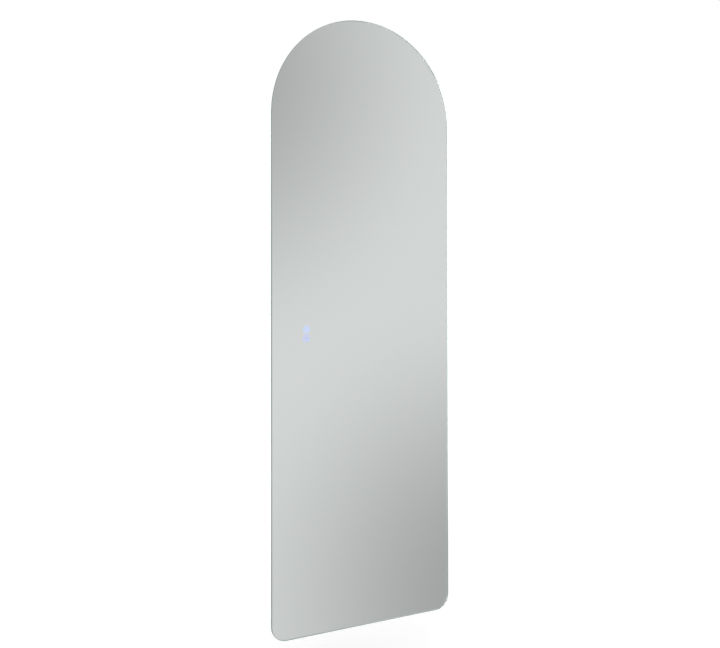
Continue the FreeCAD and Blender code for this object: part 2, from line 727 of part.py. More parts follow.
def hanger_rail(rail_height):
    """An angle across the frame's back. Its lower edge drops behind the wall rail's lip, onto the shelf."""
    half = X_WEB - HANGER_END_GAP
    back = Y_FLANGE
    front = back - HANGER_THICK
    low = rail_height + RAIL_SHELF
    top = rail_height + HANGER_TOP
    plate = box((-half, half), (front, back), (low, top))
    flange = box((-half, half), (back - HANGER_FLANGE, back), (top - HANGER_THICK, top))
    angle = rounded_along_x(fused([plate, flange]), [(back, top, HANGER_THICK)])
    holes = [screw_hole(seat, into, 2 * HANGER_THICK + PROFILE_WALL) for seat, into in hanger_seats()]
    return mirrored(mirrored(angle.cut(holes)).cut(holes))


def hanger_screws():
    length = PROFILE_WALL + HANGER_THICK + NUT_HEIGHT
    left = [screw(seat, into, length) for seat, into in hanger_seats()]
    return left + [mirrored(one) for one in left]


def hanger_nuts():
    """Hexagon nuts on the front of the hangers."""
    radius = NUT_FLATS / 2 / math.cos(math.pi / 6)
    front = Y_FLANGE - HANGER_THICK
    left = []
    for seat, _ in hanger_seats():
        corners = [
            point(seat.x + radius * math.cos(a), front, seat.z + radius * math.sin(a))
            for a in (math.radians(60 * k) for k in range(6))
        ]
        nut = Part.Face(Part.makePolygon(corners + corners[:1])).extrude(point(0, -NUT_HEIGHT, 0))
        left.append(nut.cut(screw_hole(seat, -Y_AXIS, FRAME_DEPTH)))
    return left + [mirrored(one) for one in left]


def wall_bumpers():
    """Rubber pads on the back of the side flanges that keep the mirror off the wall."""
    x = centred(FLANGE_WIDTH / 2 - X_WEB, BUMPER_WIDTH)
    middles = (Z_SPRING - BUMPER_BELOW_ARCH, Z_FRAME + LOWER_BUMPER_HEIGHT)
    left = [rounded_box(x, (Y_FRAME_BACK, 0), centred(z, BUMPER_LENGTH), BUMPER_WIDTH / 3) for z in middles]
    return left + [mirrored(one) for one in left]


# ---- Electrics box -----------------------------------------------------------------------------------------
BOX_X = (-X_BOX, X_BOX)
BOX_Z = (Z_BOX, Z_BOX_TOP)
X_SUPPLY = X_BOX - BOSS_INSET - BOSS_RADIUS - SUPPLY_RIM
X_TERMINAL = X_SUPPLY - SUPPLY_RIM - TERMINAL_WIDTH / 2
X_CONTROL = X_TERMINAL - TERMINAL_WIDTH / 2 - PART_GAP - CONTROL_LENGTH / 2
DRIVER_X = (BOX_WALL + DRIVER_CLEAR - X_BOX, X_CONTROL - CONTROL_LENGTH / 2 - PART_GAP)
Y_CONTROL = Y_BOX_FLOOR + STANDOFF_HEIGHT + BOARD_THICK  # the back of the control board
LEAD_SPREAD = CONTROL_LENGTH / 4  # of the two lower leads from the middle of the board
SENSOR_ENTRY = point(X_CONTROL - LEAD_SPREAD, Y_ENTRY, Z_BOX)
HEATER_ENTRY = point(X_CONTROL + LEAD_SPREAD, Y_ENTRY, Z_BOX)
LIGHT_ENTRY = point(X_CONTROL, Y_ENTRY, Z_BOX_TOP)
EARTH_ENTRY = point(X_BOX, Y_ENTRY, Z_BOX_MIDDLE)
ENTRIES = [
    (SENSOR_ENTRY, Z_AXIS, LEAD_RADIUS),
    (HEATER_ENTRY, Z_AXIS, LEAD_RADIUS),
    (LIGHT_ENTRY, -Z_AXIS, LEAD_RADIUS),
    (EARTH_ENTRY, -X_AXIS, EARTH_RADIUS),
]


def boss_places():
    """The four lid screws, at the corners of the box."""
    heights = (Z_BOX + BOSS_INSET, Z_BOX_TOP - BOSS_INSET)
    return [(x, z) for x in centred(0, BOX_LENGTH - 2 * BOSS_INSET) for z in heights]


def driver_box():
    outer = rounded_box(BOX_X, (Y_BOX, Y_RIM), BOX_Z, BOX_CORNER)
    cavity = rounded_box(
        (BOX_WALL - X_BOX, X_BOX - BOX_WALL),
        (Y_BOX_FLOOR, Y_RIM),
        (Z_BOX + BOX_WALL, Z_BOX_TOP - BOX_WALL),
        BOX_CORNER - BOX_WALL,
    )
    bosses = [cylinder(point(x, Y_BOX, z), Y_AXIS, BOSS_RADIUS, BOX_DEPTH) for x, z in boss_places()]
    shell = fused([outer.cut(cavity)] + bosses)
    shell = shell.common(rounded_box(BOX_X, (Y_BOX, Y_RIM), BOX_Z, BOX_CORNER))
    bores = [screw_hole(point(x, Y_LID + LID_THICK, z), -Y_AXIS, LID_SCREW_LENGTH) for x, z in boss_places()]
    for place, along, _ in ENTRIES:
        bores.append(cylinder(place - along * BOX_WALL, along, GROMMET_NECK, 3 * BOX_WALL))
    return shell.cut(bores)


def box_seal():
    outer = rounded_box(BOX_X, (Y_RIM, Y_LID), BOX_Z, BOX_CORNER)
    inner = rounded_box(
        (SEAL_WIDTH - X_BOX, X_BOX - SEAL_WIDTH),
        (Y_RIM, Y_LID),
        (Z_BOX + SEAL_WIDTH, Z_BOX_TOP - SEAL_WIDTH),
        BOX_CORNER - SEAL_WIDTH,
    )
    return outer.cut(inner)


def box_lid():
    lid = rounded_box(BOX_X, (Y_LID, Y_LID + LID_THICK), BOX_Z, BOX_CORNER)
    holes = [screw_hole(point(x, Y_LID, z), -Y_AXIS, 2 * LID_THICK) for x, z in boss_places()]
    holes.append(cylinder(point(X_SUPPLY, Y_LID, Z_BOX_MIDDLE), Y_AXIS, SUPPLY_NECK, LID_THICK))
    return lid.cut(holes)


def lid_screws():
    seat_y = Y_LID + LID_THICK
    return [screw(point(x, seat_y, z), -Y_AXIS, LID_SCREW_LENGTH) for x, z in boss_places()]


def supply_grommet():
    middle = point(X_SUPPLY, Y_LID + LID_THICK / 2, Z_BOX_MIDDLE)
    return grommet(middle, Y_AXIS, LID_THICK, SUPPLY_BORE, SUPPLY_RIM, SUPPLY_NECK)


def box_grommets():
    rings = []
    for place, along, lead_radius in ENTRIES:
        middle = place + along * (BOX_WALL / 2)
        rings.append(grommet(middle, along, BOX_WALL, lead_radius + GROMMET_FIT, GROMMET_RIM, GROMMET_NECK))
    return rings


def box_tape():
    """Two strips of foam tape under the box."""
    height = (Z_BOX + BOX_CORNER, Z_BOX_TOP - BOX_CORNER)
    places = centred(0, BOX_LENGTH - 3 * PAD_WIDTH)
    return [box(centred(x, PAD_WIDTH), (Y_FILM, Y_BOX), height) for x in places]


def led_driver():
    depth = (Y_BOX_FLOOR, Y_BOX_FLOOR + DRIVER_DEPTH)
    return rounded_box(DRIVER_X, depth, centred(Z_BOX_MIDDLE, DRIVER_WIDTH), BOX_WALL)


def terminal_block():
    """A three-pole screw block, with a screw well over each pole."""
    depth = (Y_BOX_FLOOR, Y_BOX_FLOOR + TERMINAL_DEPTH)
    block = box(centred(X_TERMINAL, TERMINAL_WIDTH), depth, centred(Z_BOX_MIDDLE, TERMINAL_LENGTH))
    middle = depth[0] + TERMINAL_DEPTH / 2
    wells = [
        cylinder(point(X_TERMINAL, middle, z), Y_AXIS, TERMINAL_PITCH / 3, TERMINAL_DEPTH)
        for z in terminal_heights()
    ]
    return block.cut(wells)


def terminal_heights():
    first = Z_BOX_MIDDLE - TERMINAL_LENGTH / 2 + TERMINAL_PITCH / 2
    return [first + index * TERMINAL_PITCH for index in range(TERMINAL_COUNT)]


def terminal_screws():
    """A plain screw at the bottom of each well."""
    start = Y_BOX_FLOOR + TERMINAL_DEPTH / 2
    radius = TERMINAL_PITCH / 3 - SCREW_CLEARANCE
    return [
        cylinder(point(X_TERMINAL, start, z), Y_AXIS, radius, TERMINAL_DEPTH / 4) for z in terminal_heights()
    ]


def control_board():
    """The board that the touch sensor switches, on four standoffs."""
    start = Y_BOX_FLOOR + STANDOFF_HEIGHT
    board = box(
        centred(X_CONTROL, CONTROL_LENGTH), (start, start + BOARD_THICK), centred(Z_BOX_MIDDLE, CONTROL_WIDTH)
    )
    legs = [
        cylinder(point(x, Y_BOX_FLOOR, z), Y_AXIS, BOX_WALL, STANDOFF_HEIGHT)
        for x in centred(X_CONTROL, CONTROL_LENGTH - 3 * BOX_WALL)
        for z in centred(Z_BOX_MIDDLE, CONTROL_WIDTH - 3 * BOX_WALL)
    ]
    return fused([board] + legs)


def control_relays():
    """Two relays on the board: one for the light and one for the anti-mist pad."""
    depth = (Y_CONTROL, Y_CONTROL + RELAY_SIZE * 0.8)
    heights = centred(Z_BOX_MIDDLE, RELAY_SIZE + RELAY_GAP)
    return [box(centred(X_CONTROL, RELAY_SIZE), depth, centred(z, RELAY_SIZE)) for z in heights]


def board_plugs():
    """The plugs on the edges of the control board: two below, one above and one to the left."""
    depth = (Y_CONTROL, 2 * Y_ENTRY - Y_CONTROL)
    low, high = centred(Z_BOX_MIDDLE, CONTROL_WIDTH)
    left = X_CONTROL - CONTROL_LENGTH / 2
    plugs = []
    for entry in (SENSOR_ENTRY, HEATER_ENTRY):
        plugs.append(box(centred(entry.x, PLUG_WIDTH), depth, (low, low + PLUG_HEIGHT)))
    plugs.append(box(centred(LIGHT_ENTRY.x, PLUG_WIDTH), depth, (high - PLUG_HEIGHT, high)))
    plugs.append(box((left, left + PLUG_HEIGHT), depth, centred(Z_BOX_MIDDLE, PLUG_WIDTH)))
    return plugs


def box_wires():
    """Two mains wires from the block to the driver, under the board, and two from the driver to its plug."""
    end = DRIVER_X[1]
    block = X_TERMINAL - TERMINAL_WIDTH / 2
    board = X_CONTROL - CONTROL_LENGTH / 2
    y_mains = Y_BOX_FLOOR + STANDOFF_HEIGHT / 2
    poles = terminal_heights()
    outer = (poles[0], poles[-1])
    mains = [cylinder(point(end, y_mains, z), X_AXIS, WIRE_RADIUS, block - end) for z in outer]
    pair = centred(Z_BOX_MIDDLE, 4 * WIRE_RADIUS)
    return mains + [cylinder(point(end, Y_ENTRY, z), X_AXIS, WIRE_RADIUS, board - end) for z in pair]


# ---- Anti-mist pad -----------------------------------------------------------------------------------------
X_JOINT_CAP = HEATER_WIDTH / 2 - 2 * JOINT_CAP_LENGTH
Z_JOINT_CAP = HEATER_TOP - JOINT_CAP_WIDTH
Z_HEATER_LOW = Z_SENSOR + SENSOR_HEIGHT / 2 + HEATER_ABOVE_SENSOR


def heater_pad():
    depth = (Y_FILM, Y_FILM + HEATER_THICK)
    return rounded_box(centred(0, HEATER_WIDTH), depth, (Z_HEATER_LOW, HEATER_TOP), HEATER_CORNER)


def heater_joint():
    """The moulded cap over the joint between the pad's foil and its lead."""
    start = Y_FILM + HEATER_THICK
    return rounded_box(
        centred(X_JOINT_CAP, JOINT_CAP_LENGTH),
        (start, start + JOINT_CAP_DEPTH),
        centred(Z_JOINT_CAP, JOINT_CAP_WIDTH),
        PROFILE_WALL * 2,
    )


# ---- Touch sensor ------------------------------------------------------------------------------------------
SENSOR_X = centred(X_MARK, SENSOR_WIDTH)
SENSOR_Z = centred(Z_SENSOR, SENSOR_HEIGHT)
Z_PLUG = Z_SENSOR + SENSOR_HEIGHT / 2


def inner_span(span):
    """A span of the sensor's case, less the case's wall at both ends."""
    return (span[0] + SENSOR_WALL, span[1] - SENSOR_WALL)


def plug_spans(clearance):
    """The socket at the top of the case, as spans on X, Y and Z, grown by a clearance."""
    back = Y_BOARD + BOARD_THICK
    return (
        centred(X_MARK, PLUG_WIDTH + 2 * clearance),
        (back - clearance, back + PLUG_DEPTH + clearance),
        (Z_PLUG - PLUG_HEIGHT, Z_PLUG + SENSOR_WALL),
    )


def sensor_case():
    """A shallow cap, open towards the glass, with a slot at the top for the socket."""
    depth = (Y_FILM, Y_FILM + SENSOR_DEPTH)
    outer = rounded_box(SENSOR_X, depth, SENSOR_Z, SENSOR_CORNER)
    cavity = rounded_box(
        inner_span(SENSOR_X),
        (Y_FILM, Y_FILM + SENSOR_DEPTH - SENSOR_WALL),
        inner_span(SENSOR_Z),
        SENSOR_CORNER - SENSOR_WALL,
    )
    return outer.cut([cavity, box(*plug_spans(SCREW_CLEARANCE))])


def sensor_mask():
    """Black foam between the film and the board, with a round light chamber behind each mark."""
    corner = SENSOR_CORNER - SENSOR_WALL
    foam = rounded_box(inner_span(SENSOR_X), (Y_FILM, Y_BOARD), inner_span(SENSOR_Z), corner)
    chambers = [
        cylinder(point(X_MARK, Y_FILM, z), Y_AXIS, CHAMBER_RADIUS, MASK_DEPTH)
        for z in (Z_LIGHT_MARK, Z_HEAT_MARK)
    ]
    return foam.cut(chambers)


def sensor_board():
    return rounded_box(
        inner_span(SENSOR_X),
        (Y_BOARD, Y_BOARD + BOARD_THICK),
        inner_span(SENSOR_Z),
        SENSOR_CORNER - SENSOR_WALL,
    )


def sensor_leds():
    """Four blue chips in each light chamber."""
    depth = (Y_BOARD - SENSOR_LED_HEIGHT, Y_BOARD)
    reach = CHAMBER_RADIUS * 0.55
    return [
        box(centred(X_MARK + reach * dx, SENSOR_LED), depth, centred(z + reach * dz, SENSOR_LED))
        for z in (Z_LIGHT_MARK, Z_HEAT_MARK)
        for dx, dz in ((1, 0), (-1, 0), (0, 1), (0, -1))
    ]


def sensor_plug():
    return box(*plug_spans(0))


# ---- Internal leads, clips and earth -----------------------------------------------------------------------
X_SENSOR_LEAD = -(HEATER_WIDTH / 2 + X_FRAME - FOOT_WIDTH) / 2  # midway between the pad and the frame's foot
Z_PLUG_TOP = Z_PLUG + SENSOR_WALL
Y_PLUG = Y_BOARD + BOARD_THICK + PLUG_DEPTH / 2
Z_CROSSING = (HANGER_TOP + Z_BOX) / 2  # of the sensor lead, between the upper hanger and the box
Z_CONTROL = Z_BOX_MIDDLE - CONTROL_WIDTH / 2  # the lower edge of the control board
Z_JOINT_TOP = Z_JOINT_CAP + JOINT_CAP_WIDTH / 2
Z_LEAD_STRAIGHT = Z_PLUG_TOP + 3 * LEAD_BEND  # where the sensor lead starts its way up the side


def sensor_lead():
    """From the sensor's socket up the left side, past the anti-mist pad, and across to the box."""
    return tube(
        [
            (X_MARK, Y_PLUG, Z_PLUG_TOP),
            (X_MARK, Y_PLUG, Z_PLUG_TOP + LEAD_BEND),
            (X_SENSOR_LEAD, Y_LEAD, Z_LEAD_STRAIGHT),
            (X_SENSOR_LEAD, Y_LEAD, Z_CROSSING),
            (SENSOR_ENTRY.x, Y_LEAD, Z_CROSSING),
            (SENSOR_ENTRY.x, Y_ENTRY, Z_BOX - GROMMET_RIM),
            (SENSOR_ENTRY.x, Y_ENTRY, Z_CONTROL),
        ],
        LEAD_RADIUS,
        LEAD_BEND,
    )


def heater_lead():
    """From the pad's joint up past the upper hanger to the box."""
    return tube(
        [
            (X_JOINT_CAP, Y_LEAD, Z_JOINT_TOP),
            (X_JOINT_CAP, Y_LEAD, RAIL_SHELF),
            (HEATER_ENTRY.x, Y_LEAD, Z_CROSSING - LEAD_BEND),
            (HEATER_ENTRY.x, Y_ENTRY, Z_BOX - GROMMET_RIM),
            (HEATER_ENTRY.x, Y_ENTRY, Z_CONTROL),
        ],
        LEAD_RADIUS,
        LEAD_BEND,
    )


def light_lead():
    """From the box up to the top of the arch and through its web, where it meets the strip's connector."""
    top = Z_SPRING + X_WEB
    return tube(
        [
            (LIGHT_ENTRY.x, Y_ENTRY, Z_CONTROL + CONTROL_WIDTH),
            (LIGHT_ENTRY.x, Y_ENTRY, Z_BOX_TOP + 2 * LEAD_BEND),
            (0, Y_CHANNEL, top - 2 * LEAD_BEND),
            (0, Y_CHANNEL, top + PROFILE_WALL + SEAT_RELIEF + GROMMET_LIP),
        ],
        LEAD_RADIUS,
        LEAD_BEND,
    )


def feed_grommet():
    middle = point(0, Y_CHANNEL, Z_SPRING + X_WEB + PROFILE_WALL / 2)
    wall = PROFILE_WALL + 2 * SEAT_RELIEF
    return grommet(middle, Z_AXIS, wall, LEAD_RADIUS + GROMMET_FIT, GROMMET_RIM, GROMMET_NECK)


def strip_connector():
    """A bridge over the feed grommet whose two feet clip onto the strip's ends."""
    web = Z_SPRING + X_WEB + PROFILE_WALL
    low = web + SEAT_RELIEF + GROMMET_LIP
    width = STRIP_BREAK + 2 * CONNECTOR_OVERLAP
    depth = centred(Y_CHANNEL, STRIP_WIDTH)
    bridge = box(centred(0, width), depth, (low, low + CONNECTOR_HEIGHT))
    feet = box(centred(0, width), depth, (web + STRIP_THICK, low))
    return fused([bridge, feet.cut(box(centred(0, STRIP_BREAK), depth, (web, low)))])


def earth_lug():
    """A ring on the upper hanger's flange, with a crimped neck that holds the earth lead."""
    seat, way = earth_seat()
    ring = cylinder(seat, way, LUG_RADIUS, LUG_THICK)
    barrel = EARTH_RADIUS + CLIP_WALL
    start = point(seat.x - LUG_RADIUS * 0.8, seat.y, HANGER_TOP + barrel)
    neck = cylinder(start, -X_AXIS, barrel, LUG_NECK)
    head = cylinder(seat, Z_AXIS, SCREW_HEAD_RADIUS + SCREW_CLEARANCE, FRAME_DEPTH)
    return fused([ring, neck]).cut([head, screw_hole(seat, way, 2 * LUG_THICK)])


def earth_screw():
    return screw(*earth_seat(), LUG_THICK + 2 * HANGER_THICK)


def earth_lead():
    """From the middle pole of the terminal block, out of the box's right end and down to the lug."""
    seat, _ = earth_seat()
    lug_end = seat.x - LUG_RADIUS * 0.8 - LUG_NECK
    z_lug = HANGER_TOP + EARTH_RADIUS + CLIP_WALL
    x_drop = (X_BOX + lug_end) / 2
    return tube(
        [
            (X_TERMINAL + TERMINAL_WIDTH / 2, Y_ENTRY, Z_BOX_MIDDLE),
            (x_drop, Y_ENTRY, Z_BOX_MIDDLE),
            (x_drop, seat.y, z_lug),
            (lug_end, seat.y, z_lug),
        ],
        EARTH_RADIUS,
        EARTH_BEND,
    )


def wire_clip():
    """A stick-on saddle for a lead along Z, whose base starts at the origin and faces away from the glass."""
    inner = LEAD_RADIUS + GROMMET_FIT
    outer = inner + CLIP_WALL
    axis_y = CLIP_BASE + LEAD_RADIUS
    span = centred(0, CLIP_WIDTH)
    base = box(centred(0, CLIP_LENGTH), (0, CLIP_BASE), span)
    cheeks = box(centred(0, 2 * outer), (0, axis_y), span)
    bow = cylinder(point(0, axis_y, span[0]), Z_AXIS, outer, CLIP_WIDTH)
    bore = cylinder(point(0, axis_y, span[0]), Z_AXIS, inner, CLIP_WIDTH)
    channel = box(centred(0, 2 * inner), (CLIP_BASE, axis_y), span)
    below = box(centred(0, 4 * outer), (-outer, 0), span)
    return fused([base, cheeks, bow]).cut([bore, channel, below])


def wire_clips():
    """Saddles along the two straight stretches of the sensor lead."""
    low = Z_LEAD_STRAIGHT + CLIP_SPARE
    high = Z_CROSSING - CLIP_SPARE
    left = X_SENSOR_LEAD + CLIP_SPARE
    right = SENSOR_ENTRY.x - CLIP_SPARE
    upright = wire_clip()
    level = wire_clip()
    level.rotate(point(0, 0, 0), Y_AXIS, 90)
    clips = []
    for index in range(CLIP_COUNT):
        z = low + index * (high - low) / (CLIP_COUNT - 1)
        clips.append(upright.translated(point(X_SENSOR_LEAD, Y_FILM, z)))
    for index in range(CROSS_CLIP_COUNT):
        x = left + index * (right - left) / (CROSS_CLIP_COUNT - 1)
        clips.append(level.translated(point(x, Y_FILM, Z_CROSSING)))
    return clips


# ---- All the pieces ----------------------------------------------------------------------------------------
def all_parts():
    """Every piece by name. A list stands for a group of separate solids in one node."""
    lower = point(0, 0, RAIL_HEIGHTS["lower"])
    earth_hole = screw_hole(*earth_seat(), FRAME_DEPTH / 2)
    parts = {
        "wall_rail_upper": wall_rail(False),
        "wall_rail_lower": wall_rail(True).translated(lower),
        "mirror_glass": mirror_glass(),
        "silver_coat": silver_coat(),
        "safety_film": safety_film(),
        "filter_light": colour_filter(Z_LIGHT_MARK),
        "filter_heat": colour_filter(Z_HEAT_MARK),
        "bonding_tape": bonding_tape(),
        "corner_bracket_left": corner_bracket(),
        "corner_bracket_right": mirrored(corner_bracket()),
        "splice_plate_left": splice_plate(),
        "splice_plate_right": mirrored(splice_plate()),
        "frame_screws": frame_screws(),
        "led_strip": led_strip(),
        "led_chips": led_chips(),
        "light_cover": light_cover(),
        "hanger_rail_upper": hanger_rail(RAIL_HEIGHTS["upper"]).cut(earth_hole),
        "hanger_rail_lower": hanger_rail(RAIL_HEIGHTS["lower"]),
        "hanger_screws": hanger_screws(),
        "hanger_nuts": hanger_nuts(),
        "wall_bumpers": wall_bumpers(),
        "driver_box": driver_box(),
        "box_seal": box_seal(),
        "box_lid": box_lid(),
        "lid_screws": lid_screws(),
        "supply_grommet": supply_grommet(),
        "box_grommets": box_grommets(),
        "box_tape": box_tape(),
        "led_driver": led_driver(),
        "terminal_block": terminal_block(),
        "terminal_screws": terminal_screws(),
        "control_board": control_board(),
        "control_relays": control_relays(),
        "board_plugs": board_plugs(),
        "box_wires": box_wires(),
        "heater_pad": heater_pad(),
        "heater_joint": heater_joint(),
        "sensor_case": sensor_case(),
        "sensor_mask": sensor_mask(),
        "sensor_board": sensor_board(),
        "sensor_leds": sensor_leds(),
        "sensor_plug": sensor_plug(),
        "sensor_lead": sensor_lead(),
        "heater_lead": heater_lead(),
        "light_lead": light_lead(),
        "feed_grommet": feed_grommet(),
        "strip_connector": strip_connector(),
        "earth_lug": earth_lug(),
        "earth_screw": earth_screw(),
        "earth_lead": earth_lead(),
        "wire_clips": wire_clips(),
    }
    parts.update(frame_parts())
    return parts


def main():
    os.makedirs("parts", exist_ok=True)
    for name, shape in all_parts().items():
        solids = shape if isinstance(shape, list) else shape.Solids
        whole = Part.makeCompound(solids) if len(solids) > 1 else solids[0]
        assert all(solid.isValid() for solid in solids), name
        whole.exportStep(f"parts/{name}.step")
        print(f"{name}: {len(solids)} solids, {sum(s.Volume for s in solids):.1f} mm3")


main()
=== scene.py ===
import json
import math

import bmesh
import bpy
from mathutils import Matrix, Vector


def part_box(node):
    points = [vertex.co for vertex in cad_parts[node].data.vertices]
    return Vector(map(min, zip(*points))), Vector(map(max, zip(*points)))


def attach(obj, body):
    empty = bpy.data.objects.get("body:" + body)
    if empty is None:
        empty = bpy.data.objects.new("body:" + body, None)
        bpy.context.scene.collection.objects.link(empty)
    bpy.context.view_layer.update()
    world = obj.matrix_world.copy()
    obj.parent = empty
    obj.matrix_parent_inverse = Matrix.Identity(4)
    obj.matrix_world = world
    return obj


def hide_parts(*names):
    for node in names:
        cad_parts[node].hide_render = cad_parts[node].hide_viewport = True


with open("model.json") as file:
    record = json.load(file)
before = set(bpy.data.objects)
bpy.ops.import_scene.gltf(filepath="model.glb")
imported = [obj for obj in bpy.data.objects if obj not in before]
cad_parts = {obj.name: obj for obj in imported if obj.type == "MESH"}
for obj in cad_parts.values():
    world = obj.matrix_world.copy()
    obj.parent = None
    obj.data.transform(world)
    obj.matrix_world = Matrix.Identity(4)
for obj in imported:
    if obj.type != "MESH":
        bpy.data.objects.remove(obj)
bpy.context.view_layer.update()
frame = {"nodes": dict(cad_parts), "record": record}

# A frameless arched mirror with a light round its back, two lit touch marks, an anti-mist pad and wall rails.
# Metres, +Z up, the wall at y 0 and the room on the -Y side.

NODES = frame["nodes"]
MM = 0.001

# ---- Sizes, read from the frame ----------------------------------------------------------------------------
GLASS_LOW, GLASS_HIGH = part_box("mirror_glass")
HALF_WIDTH = GLASS_HIGH.x
SPRING_Z = round(GLASS_HIGH.z - HALF_WIDTH, 3)  # where the straight sides meet the half circle
CORNER_RADIUS = 38 * MM  # the pane's two bottom corners
ARRIS = 1 * MM  # polished chamfer along both edges of the pane
SOFTENING = 0.25 * MM  # of the chamfer's own edges
BOND = 0.02 * MM  # how far the pane reaches into its silver, so that no air lies between them
ARCH_STEPS = 256
CORNER_STEPS = 24
SOFTENING_STEPS = 4
CHIP_PITCH = 25 * MM  # of the light strip


def middle(node):
    """The centre of that node's box."""
    low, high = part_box(node)
    return (low + high) / 2


# ---- Camera, at the photograph's viewing angle -------------------------------------------------------------
LENS = 44.379  # mm, on a 36 mm sensor
SENSOR = 36.0
SHIFT_Y = -0.0491
YAW = math.radians(28.567)  # to the right of the wall's normal; the camera is level
CAMERA_AT = Vector((-1.0653, -1.9670, -0.3144))


def add_camera():
    data = bpy.data.cameras.new("camera")
    data.lens = LENS
    data.sensor_width = SENSOR
    data.shift_y = SHIFT_Y
    camera = bpy.data.objects.new("camera", data)
    camera.location = CAMERA_AT
    camera.rotation_euler = (math.pi / 2, 0, -YAW)
    bpy.context.scene.collection.objects.link(camera)
    bpy.context.scene.camera = camera


# ---- Node graphs -------------------------------------------------------------------------------------------
COLOUR_A, COLOUR_B = 6, 7  # a Mix node's inputs for colours, which share their names with its other inputs
COLOUR_RESULT = 2


class Graph:
    """Short calls for the nodes of one tree."""

    def __init__(self, tree):
        self.tree = tree
        tree.nodes.clear()

    def node(self, kind, inputs=None, **settings):
        made = self.tree.nodes.new("ShaderNode" + kind)
        for name, value in settings.items():
            setattr(made, name, value)
        for name, value in (inputs or {}).items():
            self.feed(made.inputs[name], value)
        return made

    def feed(self, socket, value):
        if isinstance(value, bpy.types.NodeSocket):
            self.tree.links.new(value, socket)
        else:
            socket.default_value = value

    def math(self, operation, *values):
        made = self.node("Math", operation=operation)
        for socket, value in zip(made.inputs, values):
            self.feed(socket, value)
        return made.outputs[0]

    def vector(self, operation, *values):
        made = self.node("VectorMath", operation=operation)
        for socket, value in zip(made.inputs, values):
            self.feed(socket, value)
        return made.outputs["Value" if operation in ("DOT_PRODUCT", "LENGTH") else "Vector"]

    def span(self, value, start, end, low=0.0, high=1.0, smooth=False):
        """value from start to end, mapped to low to high and clamped."""
        ends = {"Value": value, "From Min": start, "From Max": end, "To Min": low, "To Max": high}
        made = self.node("MapRange", ends, interpolation_type="SMOOTHSTEP" if smooth else "LINEAR")
        return made.outputs["Result"]

    def mix(self, share, first, second):
        made = self.node("Mix", data_type="RGBA")
        self.feed(made.inputs["Factor"], share)
        self.feed(made.inputs[COLOUR_A], rgba(first))
        self.feed(made.inputs[COLOUR_B], rgba(second))
        return made.outputs[COLOUR_RESULT]

    def split(self, vector):
        return self.node("SeparateXYZ", {"Vector": vector}).outputs

    def joined(self, x, y, z):
        return self.node("CombineXYZ", {"X": x, "Y": y, "Z": z}).outputs[0]


def rgba(colour):
    return colour if isinstance(colour, bpy.types.NodeSocket) else (*colour, 1.0)


class Look(Graph):
    """A material round one Principled shader. Its patterns are placed in the object's own metres."""

    def __init__(self, name, colour, **sockets):
        self.material = bpy.data.materials.new(name)
        self.material.use_nodes = True
        super().__init__(self.material.node_tree)
        self.output = self.node("OutputMaterial")
        self.shader = self.node("BsdfPrincipled")
        self.tree.links.new(self.shader.outputs[0], self.output.inputs["Surface"])
        self.place = self.node("TexCoord").outputs["Object"]
        self.set(Base_Color=rgba(colour), **sockets)

    def set(self, **sockets):
        for name, value in sockets.items():
            self.feed(self.shader.inputs[name.replace("_", " ")], value)

    def open_from_behind(self):
        """A sheet that isn't there for what looks at its back."""
        behind = self.node("NewGeometry").outputs["Backfacing"]
        clear = self.node("BsdfTransparent").outputs[0]
        either = self.node("MixShader", {"Fac": behind})
        self.tree.links.new(self.shader.outputs[0], either.inputs[1])
        self.tree.links.new(clear, either.inputs[2])
        self.tree.links.new(either.outputs[0], self.output.inputs["Surface"])

    def noise(self, size, detail=2.0, at=None, roughness=0.5, distortion=0.0):
        """Noise with features of about that size in metres; 0 to 1, mostly near the middle."""
        values = {
            "Vector": at or self.place,
            "Scale": 1 / size,
            "Detail": detail,
            "Roughness": roughness,
            "Distortion": distortion,
        }
        return self.node("TexNoise", values).outputs["Fac"]

    def cells(self, size, at=None, feature="F1"):
        values = {"Vector": at or self.place, "Scale": 1 / size}
        return self.node("TexVoronoi", values, feature=feature)

    def stretched(self, x=1.0, y=1.0, z=1.0):
        return self.vector("MULTIPLY", self.place, (x, y, z))

    def bump(self, height, depth, under=None):
        """Relief of that depth in metres, over another relief if there is one."""
        values = {"Height": height, "Distance": depth, "Strength": 1.0}
        if under is not None:
            values["Normal"] = under
        made = self.node("Bump", values).outputs["Normal"]
        self.set(Normal=made)
        return made


# ---- Pane --------------------------------------------------------------------------------------------------
GLASS_INDEX = 1.52
MARK_MIDDLE, MARK_RIM = 3 * MM, 8 * MM  # from a mark's centre to where its blue starts and ends its change
MARK_LIGHT = 1.15
FACE_LOOK, SIDE_LOOK, ARRIS_LOOK = range(3)  # the pane's material slots


def clear_glass():
    """Float glass: faintly green, with the slight draw of the float bath."""
    look = Look("float glass", (0.985, 1.0, 0.992), Roughness=0.0, IOR=GLASS_INDEX, Transmission_Weight=1.0)
    draw = look.noise(90 * MM, 1.0, at=look.stretched(1, 1, 0.25))
    look.set(Base_Color=look.mix(draw, (0.982, 1.0, 0.991), (0.988, 1.0, 0.994)))
    return look.material


def wheel_marks(look):
    """The fine lines that the polishing wheels leave along the pane's edge."""
    return look.noise(0.12 * MM, 2.0, at=look.stretched(0.02, 1, 0.02))


def edge_glass():
    """The polished edge, green with the depth of glass behind it."""
    look = Look("polished glass edge", (0.24, 0.81, 0.51), IOR=GLASS_INDEX, Transmission_Weight=0.82)
    depth = look.noise(6 * MM, 2.0)
    look.set(Base_Color=look.mix(depth, (0.18, 0.74, 0.44), (0.30, 0.88, 0.58)))
    wheels = wheel_marks(look)
    look.set(Roughness=look.span(wheels, 0.3, 0.7, 0.06, 0.14))
    look.bump(wheels, 0.004 * MM)
    return look.material


